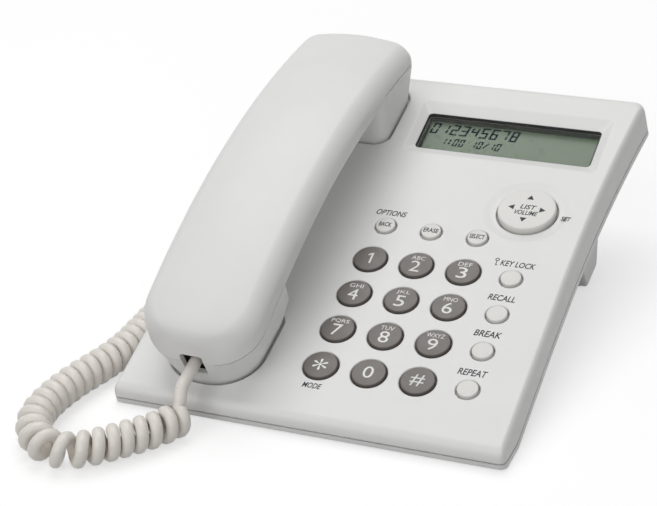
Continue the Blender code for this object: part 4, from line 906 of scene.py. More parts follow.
def cup_tip(end):
    """Height of the parting line at a cup's outer end."""
    return parting(0.0 if end == "mouth" else HANDSET_LENGTH)


def widened(outline, start):
    """Let an outline grow wider from start on as the handset does."""
    return [(x * handset_half(y) / handset_half(start), y) for x, y in outline]


def cup_outline(end, z, inset, steps=10):
    """A cup's outline at height z: it tapers in towards the base."""
    fall = max(0.0, 1 - (z + CUP_SINK) / (cup_tip(end) + CUP_SINK))
    inner = max(CUP_INNER_CORNER - inset, FIT)
    if end == "mouth":
        half = handset_half(0.0) - CUP_INSET - MOUTH_CUP_TAPER * fall - inset
        outer = max(min(MOUTH_END_RADIUS - CUP_INSET - inset, half * ROUND_SHARE), FIT)
        front = CUP_INSET + MOUTH_CUP_LEAN * fall + inset
        outline = rounded(-half, half, front, MOUTH_CUP_LENGTH - inset, (outer, outer, inner, inner), steps)
        return widened(outline, 0.0)
    start = HANDSET_LENGTH - EAR_CUP_LENGTH
    half = handset_half(start) - CUP_INSET - EAR_CUP_TAPER * fall - inset
    outer = max(EAR_END_RADIUS - CUP_INSET - inset, FIT)
    rear = HANDSET_LENGTH - CUP_INSET - EAR_CUP_LEAN * fall - inset
    return widened(rounded(-half, half, start + inset, rear, (inner, inner, outer, outer), steps), start)


def cup_form(end, inset, low):
    """A cup from low up past the parting line, with a round bottom edge."""
    levels = [(low + CUP_EDGE + z, CUP_EDGE - x) for x, z in arc(CUP_EDGE, -90, 0, 5)]
    levels += [(cup_tip(end), 0.0), (PARTING, 0.0)]
    return loft([[(x, y, z) for x, y in cup_outline(end, z, inset + draw_in)] for z, draw_in in levels])


def cup_middle(end):
    rows = [y for _, y in cup_outline(end, -CUP_SINK, 0.0)]
    return (min(rows) + max(rows)) / 2


def well(end, growth, rings):
    """The recess in the base that a cup sits in, through pairs of growth and height."""
    form = loft([[(x, y, z) for x, y in cup_outline(end, 0.0, -growth - more)] for more, z in rings])
    form.data.transform(HANDSET_SET)
    return form


def slot_row(middle, z0, z1, count):
    """A row of sound slots, as a cutter."""
    length, width = SLOT_LENGTH, SLOT_WIDTH
    outline = rounded(-length / 2, length / 2, -width / 2, width / 2, (width * SLOT_ROUND_SHARE,) * 4, 5)
    shape = prism(outline, z0, z1)
    return repeated(shape, [(middle[0], middle[1] + (index - (count - 1) / 2) * SLOT_PITCH, 0.0)
                            for index in range(count)])


def screw_places():
    return [(side * SCREW_X, y) for y in SCREW_YS for side in (-1, 1)]


def screw_face(y):
    """Face that a base screw's head clamps."""
    return belly(y, RIM_HEIGHT) - FIT - SCREW_SHELF - FIT


def handset_screw_ys():
    return (MOUTH_CUP_LENGTH + 2 * SCREW_BOSS, HANDSET_LENGTH - EAR_CUP_LENGTH - 2 * SCREW_BOSS)


def handset_screw_face(y):
    return parting(y) - FIT - SCREW_SHELF - FIT


def stand_foot_y():
    return STAND_FOOT_FRONT + STAND_EDGE + FOOT_DIAMETER / 2


def foot_seat(x, y, top):
    """The shallow seat of a rubber foot, as a cutter."""
    ring = circle(FOOT_DIAMETER / 2 + FIT, 36, (x, y))
    return loft([[(px, py, table(py) - THROUGH) for px, py in ring],
                 [(px, py, top(py) + FOOT_SEAT) for px, py in ring]])


def bore(diameter, z0, z1, place, steps=28):
    """An upright round rod, for holes and bosses."""
    radius = diameter / 2
    return moved(turned([(0, z0), (radius, z0), (radius, z1), (0, z1)], steps), (*place, 0.0))


def wall_x(z):
    """Outer face of the left wall at the jack of the curly cord."""
    return SIDE_DRAFT * z - half_width(BASE_JACK_Y)


def wall_y(z):
    """Outer face of the rear wall."""
    return BASE_DEPTH - REAR_DRAFT * z


def hook_middle():
    return HANDSET_AT.x, HANDSET_AT.y + cup_middle("ear")


def hanger_middle():
    return HANDSET_AT.x, HANDSET_AT.y + min(y for _, y in cup_outline("ear", 0.0, 0.0)) - HANGER_GAP


def contact_xs():
    """Places of the contacts across a plug or jack."""
    return [(index - (CONTACTS - 1) / 2) * CONTACT_PITCH for index in range(CONTACTS)]


def middle_block(middle, width, depth, z0, z1, growth=0.0):
    """A block about a point of the base, grown all round in x and y."""
    return block(middle[0] - width / 2 - growth, middle[0] + width / 2 + growth,
                 middle[1] - depth / 2 - growth, middle[1] + depth / 2 + growth, z0, z1)


def laid_at(x, y):
    """Place on the desk of a piece that is drawn about a point of the base's top face."""
    return LAID @ Matrix.Translation((x, y, 0.0))


def key_places():
    """Every push key as node, x, y, diameter and height above the base."""
    size = sizes()
    places = []
    for index, (label, _) in enumerate(DIAL):
        places.append((f"key_{label}", KEY_1_X + KEY_PITCH * (index % 3), KEY_1_Y - KEY_PITCH * (index // 3),
                       size.key_diameter, size.key_proud))
    for index, name in enumerate(SIDE_KEYS):
        places.append((name, KEY_1_X + KEY_PITCH * 3, KEY_1_Y - KEY_PITCH * index,
                       size.side_diameter, size.small_proud))
    for index, (name, _, _) in enumerate(SMALL_KEYS):
        places.append((name, KEY_1_X + KEY_PITCH * index, KEY_1_Y + KEY_PITCH,
                       size.small_diameter, size.small_proud))
    return places


# Finishes

def noise(tree, coords, scale, detail=2.0, rough=0.5):
    node = tree.nodes.new("ShaderNodeTexNoise")
    node.inputs["Scale"].default_value = scale
    node.inputs["Detail"].default_value = detail
    node.inputs["Roughness"].default_value = rough
    tree.links.new(coords, node.inputs["Vector"])
    return node.outputs["Fac"]


def spread(tree, value, low, high):
    """A noise value laid out between two numbers."""
    node = tree.nodes.new("ShaderNodeMapRange")
    node.inputs["From Min"].default_value = NOISE_RANGE[0]
    node.inputs["From Max"].default_value = NOISE_RANGE[1]
    node.inputs["To Min"].default_value = low
    node.inputs["To Max"].default_value = high
    tree.links.new(value, node.inputs["Value"])
    return node.outputs["Result"]


def ramp(tree, value, low, high):
    """A noise value laid out between two colours."""
    node = tree.nodes.new("ShaderNodeValToRGB")
    for element, place, colour in zip(node.color_ramp.elements, NOISE_RANGE, (low, high)):
        element.position = place
        element.color = (*colour, 1.0)
    tree.links.new(value, node.inputs["Fac"])
    return node.outputs["Color"]


def shade(colour, share):
    return tuple(min(1.0, channel * share) for channel in colour)


def bump(tree, height, distance):
    node = tree.nodes.new("ShaderNodeBump")
    node.inputs["Distance"].default_value = distance
    node.inputs["Strength"].default_value = 1.0
    tree.links.new(height, node.inputs["Height"])
    return node.outputs["Normal"]


def seen_directly(tree):
    """1 for a ray that shows a surface to the eye, 0 for one that only carries its light."""
    path = tree.nodes.new("ShaderNodeLightPath")
    seen = reckon(tree, "MAXIMUM", path.outputs["Is Camera Ray"], path.outputs["Is Glossy Ray"])
    return reckon(tree, "MAXIMUM", seen, path.outputs["Is Transmission Ray"])


def new_finish(name, turn=(0.0, 0.0, 0.0)):
    """A material with its shader and the place on the object."""
    material = bpy.data.materials.new(name)
    material.use_nodes = True
    tree = material.node_tree
    mapping = tree.nodes.new("ShaderNodeMapping")
    mapping.inputs["Rotation"].default_value = turn
    tree.links.new(tree.nodes.new("ShaderNodeTexCoord").outputs["Object"], mapping.inputs["Vector"])
    return material, tree, tree.nodes["Principled BSDF"], mapping.outputs["Vector"]


def moulded(name, colour, gloss, uneven, grain, depth):
    """Moulded plastic or rubber: a little uneven in tone and gloss, with a fine grain."""
    material = bpy.data.materials.get(name)
    if material:
        return material
    material, tree, shader, place = new_finish(name)
    tone = noise(tree, place, scale=45.0, detail=4.0, rough=0.55)
    tree.links.new(ramp(tree, tone, shade(colour, 1 - uneven), shade(colour, 1 + uneven)),
                   shader.inputs["Base Color"])
    tree.links.new(spread(tree, noise(tree, place, scale=320.0), *gloss), shader.inputs["Roughness"])
    tree.links.new(bump(tree, noise(tree, place, grain, 3.0), depth), shader.inputs["Normal"])
    material.diffuse_color = (*colour, 1.0)
    return material


def body_white():
    return moulded("shell_white", colours().body,
                   gloss=(0.36, 0.46), uneven=0.012, grain=2600.0, depth=0.000012)


def key_white():
    return moulded("cap_white", colours().white_key,
                   gloss=(0.34, 0.42), uneven=0.015, grain=3400.0, depth=0.000008)


def key_grey():
    return moulded("cap_grey", colours().grey_key,
                   gloss=(0.36, 0.48), uneven=0.06, grain=3000.0, depth=0.000012)


def adjusted(material, socket, value):
    """A finish with one value of its shader set."""
    material.node_tree.nodes["Principled BSDF"].inputs[socket].default_value = value
    return material


def ink(name, colour):
    material = moulded(name, colour, gloss=(0.45, 0.60), uneven=0.08, grain=5200.0, depth=0.000006)
    return adjusted(material, "Specular IOR Level", 0.1)


def dark_plastic():
    return moulded("jack_black", colours().dark,
                   gloss=(0.42, 0.55), uneven=0.10, grain=2400.0, depth=0.000015)


def cord_vinyl():
    material = moulded("cord_sleeve", colours().cord,
                       gloss=(0.26, 0.36), uneven=0.03, grain=1800.0, depth=0.000014)
    return adjusted(material, "Coat Weight", 0.12)


def plug_clear():
    material = moulded("plug_clear", colours().plug,
                       gloss=(0.10, 0.20), uneven=0.04, grain=900.0, depth=0.000006)
    return adjusted(material, "Coat Weight", 0.3)


def foot_black():
    return moulded("foot_black", colours().rubber,
                   gloss=(0.70, 0.85), uneven=0.12, grain=1500.0, depth=0.00003)


def mat_grey():
    return moulded("mat_grey", colours().mat,
                   gloss=(0.60, 0.75), uneven=0.05, grain=1200.0, depth=0.00002)


def metal(name, colour, stretch):
    """Drawn or turned metal with fine streaks."""
    material = bpy.data.materials.get(name)
    if material:
        return material
    material, tree, shader, place = new_finish(name)
    tree.nodes["Mapping"].inputs["Scale"].default_value = stretch
    streak = noise(tree, place, scale=900.0, detail=3.0, rough=0.6)
    tree.links.new(ramp(tree, streak, shade(colour, 0.88), shade(colour, 1.06)), shader.inputs["Base Color"])
    tree.links.new(spread(tree, streak, 0.26, 0.40), shader.inputs["Roughness"])
    tree.links.new(bump(tree, streak, 0.000004), shader.inputs["Normal"])
    shader.inputs["Metallic"].default_value = 1.0
    return material


def steel():
    return metal("bright_steel", colours().steel, stretch=(1.0, 1.0, 0.2))


def contact_gold():
    return metal("contact_gold", colours().contact, stretch=(1.0, 0.2, 1.0))


def lens_clear():
    """Clear lens with the faintest smear."""
    material, tree, shader, place = new_finish("lens_pane")
    smear = noise(tree, place, scale=90.0, detail=3.0)
    clear = colours().lens
    tree.links.new(ramp(tree, smear, shade(clear, 0.94), clear), shader.inputs["Base Color"])
    tree.links.new(spread(tree, smear, 0.05, 0.11), shader.inputs["Roughness"])
    shader.inputs["Alpha"].default_value = 0.10
    shader.inputs["IOR"].default_value = 1.49
    shader.inputs["Specular IOR Level"].default_value = 0.25
    material.surface_render_method = "BLENDED"
    return material


def display_ground():
    """Reflective ground of the display: fine lines of unlit cells over an uneven green."""
    colour = colours().display
    material, tree, shader, place = new_finish("display_pane", (-TILT, 0.0, 0.0))
    cells = tree.nodes.new("ShaderNodeTexBrick")
    cells.offset = 0.0
    for socket, value in (("Scale", 1.0), ("Mortar Size", 0.00005), ("Brick Width", 0.00062),
                          ("Row Height", 0.00082), ("Mortar Smooth", 0.4)):
        cells.inputs[socket].default_value = value
    cells.inputs["Color1"].default_value = (*shade(colour, 0.985), 1.0)
    cells.inputs["Color2"].default_value = (*shade(colour, 1.0), 1.0)
    cells.inputs["Mortar"].default_value = (*shade(colour, 1.05), 1.0)
    tree.links.new(place, cells.inputs["Vector"])
    cloud = ramp(tree, noise(tree, place, scale=30.0), (0.94, 0.94, 0.94), (1.0, 1.0, 1.0))
    mix = tree.nodes.new("ShaderNodeMix")
    mix.data_type = "RGBA"
    mix.blend_type = "MULTIPLY"
    mix.inputs["Factor"].default_value = 1.0
    tree.links.new(cells.outputs["Color"], mix.inputs["A"])
    tree.links.new(cloud, mix.inputs["B"])
    tree.links.new(mix.outputs["Result"], shader.inputs["Base Color"])
    tree.links.new(spread(tree, noise(tree, place, scale=400.0), 0.26, 0.36), shader.inputs["Roughness"])
    return material


def board_green():
    """Circuit board: lacquered copper tracks under green resist."""
    colour = colours().board
    material, tree, shader, place = new_finish("board_resist", (-TILT, 0.0, 0.0))
    tracks = tree.nodes.new("ShaderNodeTexBrick")
    for socket, value in (("Scale", 1.0), ("Mortar Size", 0.0003), ("Brick Width", 0.0046),
                          ("Row Height", 0.0013)):
        tracks.inputs[socket].default_value = value
    tracks.inputs["Color1"].default_value = (*colour, 1.0)
    tracks.inputs["Color2"].default_value = (*shade(colour, 1.2), 1.0)
    tracks.inputs["Mortar"].default_value = (*shade(colour, 0.7), 1.0)
    tree.links.new(place, tracks.inputs["Vector"])
    tree.links.new(tracks.outputs["Color"], shader.inputs["Base Color"])
    tree.links.new(bump(tree, tracks.outputs["Fac"], 0.00003), shader.inputs["Normal"])
    tree.links.new(spread(tree, noise(tree, place, scale=200.0), 0.32, 0.45), shader.inputs["Roughness"])
    return material


# Cord

def smooth_line(points, spacing, fineness=20):
    """Points at even steps along a smooth curve through the given ones."""
    dense = []
    padded = [2 * points[0] - points[1]] + points + [2 * points[-1] - points[-2]]
    for before, start, end, after in zip(padded, padded[1:], padded[2:], padded[3:]):
        for step in range(fineness):
            t = step / fineness
            dense.append(0.5 * ((2 * start) + (end - before) * t
                                + (2 * before - 5 * start + 4 * end - after) * t ** 2
                                + (3 * start - before - 3 * end + after) * t ** 3))
    dense.append(points[-1])
    lengths = [0.0]
    for start, end in zip(dense, dense[1:]):
        lengths.append(lengths[-1] + (end - start).length)
    count = max(2, round(lengths[-1] / spacing))
    line = []
    place = 0
    for step in range(count + 1):
        target = lengths[-1] * step / count
        while place < len(lengths) - 2 and lengths[place + 1] < target:
            place += 1
        share = (target - lengths[place]) / (lengths[place + 1] - lengths[place])
        line.append(dense[place].lerp(dense[place + 1], share))
    return line


def coil_points():
    """The curls, wound along their axis and even along the inner side of a bend."""
    axis = smooth_line([Vector((x, y, COIL_HEIGHT)) for x, y in COIL_AXIS], COIL_AXIS_SPACING)
    ways = [(end - start).normalized() for start, end in zip(axis, axis[1:])]
    inner = [0.0]
    for start, end, way, after in zip(axis, axis[1:], ways, ways[1:] + ways[-1:]):
        inner.append(inner[-1] + (end - start).length - COIL_RADIUS * way.angle(after))
    count = round(COIL_TURNS * COIL_POINTS)
    points = []
    index = 0
    for step in range(count + 1):
        target = inner[-1] * step / count
        while index < len(ways) - 1 and inner[index + 1] < target:
            index += 1
        share = (target - inner[index]) / (inner[index + 1] - inner[index])
        centre = axis[index].lerp(axis[index + 1], share)
        outward = Vector((-ways[index].y, ways[index].x, 0))
        angle = math.tau * COIL_TURNS * step / count
        arm = Vector((0, 0, 1)) * math.cos(angle) + outward * math.sin(angle)
        points.append(centre + COIL_RADIUS * arm)
    return points


def plug_faces():
    """Where the cord enters its two plugs, and where and which way it leaves handset and base."""
    turn = LAID.to_3x3()
    handset_face = HANDSET_LAID @ Vector((0.0, NOTCH_DEPTH + FIT, HANDSET_JACK_Z))
    handset_end = HANDSET_LAID @ Vector((0.0, -HANDSET_STUB, HANDSET_JACK_Z))
    handset_out = turn @ Vector((0, -1, 0))
    rear = wall_x(BASE_JACK_Z) + BASE_JACK_SET
    base_face = LAID @ Vector((rear, BASE_JACK_Y, BASE_JACK_Z))
    base_end = LAID @ Vector((rear - BASE_STUB, BASE_JACK_Y, BASE_JACK_Z))
    base_out = turn @ Vector((-1, 0, 0))
    return handset_face, handset_end, handset_out, base_face, base_end, base_out


def cord_path():
    """The cord from plug to plug: a short tail, the curls, a longer tail."""
    handset_face, handset_end, handset_out, base_face, base_end, base_out = plug_faces()
    wire = sizes().wire
    coil = coil_points()
    head = [handset_face, handset_end, handset_end + handset_out * wire, Vector(HANDSET_TAIL)]
    foot = [Vector(point) for point in BASE_TAIL] + [base_end + base_out * wire, base_face]
    short = smooth_line(head + coil[:1], HANDSET_TAIL_SPACING)
    longer = smooth_line(coil[-1:] + foot, BASE_TAIL_SPACING)
    return short[:-1] + coil + longer[1:]


class PHONE_OT_stage(bpy.types.Operator):
    """Set up camera, floor, soft light and surroundings"""
    bl_idname = "phone.stage"
    bl_label = "Stage"

    def execute(self, context):
        scene = context.scene
        scene.view_settings.view_transform = "Standard"
        lens = bpy.data.cameras.new("camera")
        lens.lens = CAMERA_LENS
        lens.sensor_width = CAMERA_SENSOR
        camera = bpy.data.objects.new("camera", lens)
        turn = Matrix((CAMERA_ACROSS, -CAMERA_DOWN, -CAMERA_AHEAD)).transposed().to_4x4()
        camera.matrix_world = Matrix.Translation(CAMERA_AT) @ turn
        scene.collection.objects.link(camera)
        scene.camera = camera
        self.floor()
        for name, place, height, size, power in LAMPS:
            self.lamp(scene, name, place, (0.0, 0.0, height), size, power)
        self.world(scene)
        return {"FINISHED"}

    def floor(self):
        """Pale ground that glows towards the camera, so that it is near white where no shadow lies."""
        ground = colours().floor
        mesh = bpy.data.meshes.new("floor")
        reach = FLOOR_REACH
        mesh.from_pydata([(-reach, -reach, 0), (reach, -reach, 0), (reach, reach, 0), (-reach, reach, 0)],
                         [], [(0, 1, 2, 3)])
        floor = new_object(mesh)
        material, tree, shader, place = new_finish("floor")
        tone = ramp(tree, noise(tree, place, scale=3.0), shade(ground, 0.99), shade(ground, 1.01))
        tree.links.new(tone, shader.inputs["Base Color"])
        shader.inputs["Roughness"].default_value = 0.9
        shader.inputs["Specular IOR Level"].default_value = 0.0
        shader.inputs["Emission Color"].default_value = (1.0, 1.0, 1.0, 1.0)
        glow = reckon(tree, "MULTIPLY", seen_directly(tree), FLOOR_GLOW)
        tree.links.new(glow, shader.inputs["Emission Strength"])
        mesh.materials.append(material)

    def lamp(self, scene, name, place, aim, size, power):
        data = bpy.data.lights.new(name, "AREA")
        data.shape = "DISK"
        data.size = size
        data.energy = power
        lamp = bpy.data.objects.new(name, data)
        lamp.location = place
        lamp.rotation_euler = (Vector(aim) - Vector(place)).to_track_quat("-Z", "Y").to_euler()
        scene.collection.objects.link(lamp)

    def world(self, scene):
        """White to the camera and in reflections, a mild grey as light."""
        world = bpy.data.worlds.new("studio")
        scene.world = world
        world.use_nodes = True
        tree = world.node_tree
        ground = tree.nodes["Background"]
        ground.inputs["Color"].default_value = (1.0, 1.0, 1.0, 1.0)
        shown = reckon(tree, "MULTIPLY", seen_directly(tree), 1.0 - SKY_LIGHT)
        strength = reckon(tree, "ADD", shown, SKY_LIGHT)
        tree.links.new(strength, ground.inputs["Strength"])


class PHONE_OT_cord(bpy.types.Operator):
    """Wind the curly cord from plug to plug, with its two plugs"""
    bl_idname = "phone.cord"
    bl_label = "Curly cord"

    def execute(self, context):
        size = sizes()
        path = cord_path()
        cord = grown("Wire", path, chain(len(path)), Diameter=size.wire, Sides=size.wire_sides)
        dress(cord, "curly_cord", Matrix.Identity(4), cord_vinyl(), sharp=60.0)
        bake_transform(cord)
        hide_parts("handset_cord")
        in_notch = Matrix.Translation((0.0, NOTCH_DEPTH + FIT, HANDSET_JACK_Z))
        handset_plug = self.plug("handset_plug_clear", HANDSET_LAID @ in_notch)
        place_piece(handset_plug, "handset", "clear_plug", "handset_plug")
        in_wall = Matrix.Translation((wall_x(BASE_JACK_Z) + BASE_JACK_SET, BASE_JACK_Y, BASE_JACK_Z))
        quarter_turn = Matrix.Rotation(math.radians(-90.0), 4, "Z")
        base_plug = self.plug("base_plug_clear", LAID @ in_wall @ quarter_turn)
        place_piece(base_plug, "base", "clear_plug", "base_plug")
        return {"FINISHED"}

    def plug(self, name, place):
        """A clear modular plug: a block with a stepped nose and a groove for each contact."""
        width, length, height = PLUG_WIDTH, PLUG_LENGTH, PLUG_HEIGHT
        step_start, step_level = length * 0.62, height * 0.26
        groove_start, groove_level = length * 0.66, height * 0.12
        body = block(-width / 2, width / 2, 0.0, length, -height / 2, height / 2)
        cut(body, block(-width, width, step_start, length + THROUGH, step_level, height))
        groove = block(-GROOVE_HALF, GROOVE_HALF, groove_start, length + THROUGH, 0.0, height)
        cut(body, repeated(groove, [(x, 0.0, groove_level) for x in contact_xs()]))
        bevelled(body, PLUG_EDGE, 2)
        return dress(body, name, place, plug_clear())


class PHONE_OT_base(bpy.types.Operator):
    """Mould the two covers of the base"""
    bl_idname = "phone.base"
    bl_label = "Base covers"

    def execute(self, context):
        top = dress(self.top(), "base_top", LAID, body_white(), sharp=32.0)
        place_piece(top, "base", "white_plastic", "top_cover")
        bottom = dress(self.bottom(), "base_bottom", LAID, body_white(), sharp=32.0)
        place_piece(bottom, "base", "white_plastic", "bottom_cover")
        return {"FINISHED"}

    def hole(self, diameter):
        """A key's hole with a soft upper edge, as a cutter about the origin."""
        radius = diameter / 2 + KEY_PLAY
        soft = sizes().hole_round
        edge = [(radius + growth, z) for growth, z in flare_out(soft, 0.0)]
        return turned([(0, -TOP_WALL - THROUGH), (radius, -TOP_WALL - THROUGH)] + edge
                      + [(edge[-1][0], soft), (0, soft)])

    def nav_hole(self):
        """The four-way key's hole in its shallow dish."""
        hole = NAV_RADIUS + NAV_PLAY
        soft = NAV_DISH_SLOPE / 2
        flat = NAV_DISH_RADIUS - NAV_DISH_SLOPE
        profile = [(0, -TOP_WALL - THROUGH), (hole, -TOP_WALL - THROUGH)]
        profile += [(hole + growth, z) for growth, z in flare_out(sizes().hole_round / 2, -NAV_DISH_DEPTH, 3)]
        slope_steps = 12
        for step in range(slope_steps + 1):
            share = step / slope_steps
            profile.append((flat - soft / 2 + (NAV_DISH_SLOPE + soft) * share,
                            -NAV_DISH_DEPTH * (1 - share * share * (3 - 2 * share)) + FIT / 10))
        profile += [(profile[-1][0], THROUGH), (0, THROUGH)]
        return moved(turned(profile, NAV_STEPS), (NAV_X, NAV_Y, 0.0))

    def top(self):
        """The top cover: shell, wells, holes, frame of the display and jack openings."""
        inside = base_form(SIDE_WALL, -TOP_WALL, DEEP, INNER_EDGE, arc_steps=3)
        kept = [well(end, WELL_GAP + TOP_WALL, ((0.0, WELL_BOTTOM - WELL_FLOOR), (0.0, THROUGH)))
                for end in CUPS]
        kept.append(prism(lens_outline(FIT + FRAME_BLOCK), LEDGE_BOTTOM, THROUGH))
        kept += [bore(SCREW_BOSS, DEEP - THROUGH, THROUGH, place) for place in screw_places()]
        cut(inside, *kept)
        body = cut(base_form(0.0, 0.0, DEEP, EDGE_RADIUS, arc_steps=9), inside)
        cut(body, beyond_belly(RIM_HEIGHT, DEEP - THROUGH))
        by_size = {}
        for _, x, y, diameter, _ in key_places():
            by_size.setdefault(diameter, []).append((x, y, 0.0))
        cut(body, *[repeated(self.hole(diameter), places) for diameter, places in by_size.items()])
        cut(body, self.nav_hole(), frame_slope(), prism(lens_outline(FIT), LENS_SEAT, LENS_TOP / 2))
        cut(body, prism(lens_outline(-LEDGE), LEDGE_BOTTOM - THROUGH, LENS_TOP))
        rim = flare_out(sizes().well_round, 0.0)
        for end in CUPS:
            cut(body, well(end, WELL_GAP, [(0.0, WELL_BOTTOM)] + rim + [(rim[-1][0], THROUGH)]))
        cut(body, middle_block(hook_middle(), HOOK_WIDTH, HOOK_DEPTH, WELL_BOTTOM - WELL_FLOOR - THROUGH,
                               0.0, FIT))
        cut(body, middle_block(hanger_middle(), HANGER_WIDTH, HANGER_THICKNESS, -TOP_WALL - THROUGH,
                               THROUGH, FIT))
        left, rear = wall_x(BASE_JACK_Z), wall_y(LINE_JACK_Z)
        cut(body, block(left - THROUGH, left + SIDE_WALL + THROUGH,
                        BASE_JACK_Y - PLUG_WIDTH / 2 - FIT, BASE_JACK_Y + PLUG_WIDTH / 2 + FIT,
                        BASE_JACK_Z - PLUG_HEIGHT / 2 - FIT, BASE_JACK_Z + PLUG_HEIGHT / 2 + FIT))
        cut(body, block(-LINE_JACK_WIDTH / 2, LINE_JACK_WIDTH / 2, rear - SIDE_WALL - THROUGH, rear + THROUGH,
                        LINE_JACK_Z - LINE_JACK_HEIGHT / 2, LINE_JACK_Z + LINE_JACK_HEIGHT / 2))
        pilots = [bore(SCREW_SHANK + 2 * FIT, DEEP, screw_face(y) + SCREW_LENGTH + FIT, (x, y))
                  for x, y in screw_places()]
        return cut(body, *pilots)

    def bottom(self):
        """The bottom cover: shallow tray with speaker slots, screw holes and seats of the front feet."""
        inside = base_form(SIDE_WALL, THROUGH, DEEP, INNER_EDGE, arc_steps=3)
        cut(inside, beyond_belly(FLOOR_WALL, DEEP - THROUGH))
        cut(inside, *[bore(SCREW_BOSS, DEEP, THROUGH, place) for place in screw_places()])
        body = base_form(0.0, 0.0, DEEP, EDGE_RADIUS, arc_steps=2)
        cut(body, beyond_belly(RIM_HEIGHT - BASE_SEAM, THROUGH), beyond_belly(0.0, DEEP - THROUGH), inside)
        cut(body, slot_row((SPEAKER_X, SPEAKER_Y), DEEP, 0.0, SPEAKER_SLOTS))
        for x, y in screw_places():
            cut(body, bore(SCREW_SHANK + 2 * FIT, DEEP, 0.0, (x, y)),
                bore(SCREW_HEAD + 2 * FIT, DEEP, screw_face(y) + FIT, (x, y)))
        return cut(body, *[foot_seat(side * FRONT_FOOT_X, FRONT_FOOT_Y, belly) for side in (-1, 1)])


class PHONE_OT_stand(bpy.types.Operator):
    """Make the desk stand at the rear"""
    bl_idname = "phone.stand"
    bl_label = "Desk stand"

    def execute(self, context):
        outline = [(STAND_FRONT_TOP, 0.0), (STAND_FOOT_FRONT, sole(STAND_FOOT_FRONT)),
                   (STAND_FOOT_REAR, sole(STAND_FOOT_REAR)), (STAND_REAR_TOP, -STAND_REAR_DROP),
                   (STAND_REAR_TOP, 0.0)]
        side = fillet(outline, (0, STAND_EDGE, STAND_EDGE, STAND_EDGE, 0))
        middle = Vector((sum(y for y, _ in side), sum(z for _, z in side))) / len(side)
        half = STAND_WIDTH / 2
        soft = STAND_SIDE_EDGE
        levels = [(soft - half + x, soft - z) for x, z in arc(soft, 180, 90, 5)]
        levels += [(half - soft + x, soft - z) for x, z in arc(soft, 90, 0, 5)]
        rings = []
        for x, draw_in in levels:
            rings.append([(x, *(Vector(point) + (middle - Vector(point)).normalized() * draw_in))
                          for point in side])
        body = loft(rings)
        cut(body, beyond_belly(-FIT, 2 * THROUGH))
        cut(body, *[foot_seat(side * STAND_FOOT_X, stand_foot_y(), sole) for side in (-1, 1)])
        dress(body, "desk_stand", LAID, body_white(), sharp=32.0)
        place_piece(body, "base", "white_plastic", "tilt_stand")
        return {"FINISHED"}


class PHONE_OT_handset(bpy.types.Operator):
    """Mould the two covers of the handset"""
    bl_idname = "phone.handset"
    bl_label = "Handset covers"

    def execute(self, context):
        top = dress(self.top(), "handset_upper", HANDSET_LAID, body_white(), sharp=38.0)
        place_piece(top, "handset", "white_plastic", "handset_top_cover")
        bottom = dress(self.bottom(), "handset_lower", HANDSET_LAID, body_white(), sharp=32.0)
        place_piece(bottom, "handset", "white_plastic", "handset_bottom_cover")
        return {"FINISHED"}

    def notch(self):
        """The opening in the mouth end that the cord's plug goes into, as a cutter."""
        outline = rounded(-NOTCH_WIDTH / 2, NOTCH_WIDTH / 2, NOTCH_LOW, NOTCH_HIGH, (NOTCH_CORNER,) * 4, 5)
        return loft([[(x, y, z) for x, z in outline] for y in (-THROUGH, NOTCH_DEPTH)])

    def top(self):
        body = cut(upper_form(0.0, 0.0, SEAM_EDGE), upper_form(HANDSET_WALL, 2 * THROUGH))
        return cut(body, self.notch())

    def above_parting(self):
        """All that lies over the bottom half's upper edge, as a cutter."""
        past = THROUGH + EAR_CUP_LEAN
        stations = [-past] + handset_stations(0.0) + [HANDSET_LENGTH + past]
        line = [(y, parting(y) - SEAM) for y in stations]
        top = CROWN + THROUGH
        return slab(line + [(line[-1][0], top), (line[0][0], top)], -EAR_WIDTH, EAR_WIDTH)

    def bottom(self):
        """The bottom half: grip and cups, hollow, with screw holes and sound slots."""
        body, hollow = grip_form(0.0), grip_form(HANDSET_WALL)
        for end in CUPS:
            join(body, cup_form(end, 0.0, -CUP_SINK))
            join(hollow, cup_form(end, HANDSET_WALL, HANDSET_WALL - CUP_SINK))
        cut(body, self.above_parting())
        cut(hollow, *[bore(SCREW_BOSS, -THROUGH, 2 * CROWN, (0, y)) for y in handset_screw_ys()])
        cut(body, hollow, self.notch())
        for y in handset_screw_ys():
            cut(body, bore(SCREW_SHANK + 2 * FIT, 0.0, CROWN, (0, y)),
                bore(SCREW_HEAD + 2 * FIT, 0.0, handset_screw_face(y) + FIT, (0, y)))
        floor = HANDSET_WALL - CUP_SINK + FIT
        cut(body, slot_row((0.0, cup_middle("ear")), -CUP_SINK - THROUGH, floor, EAR_SLOTS))
        return cut(body, slot_row((0.0, MICROPHONE_Y), -CUP_SINK - THROUGH, floor, MICROPHONE_SLOTS))


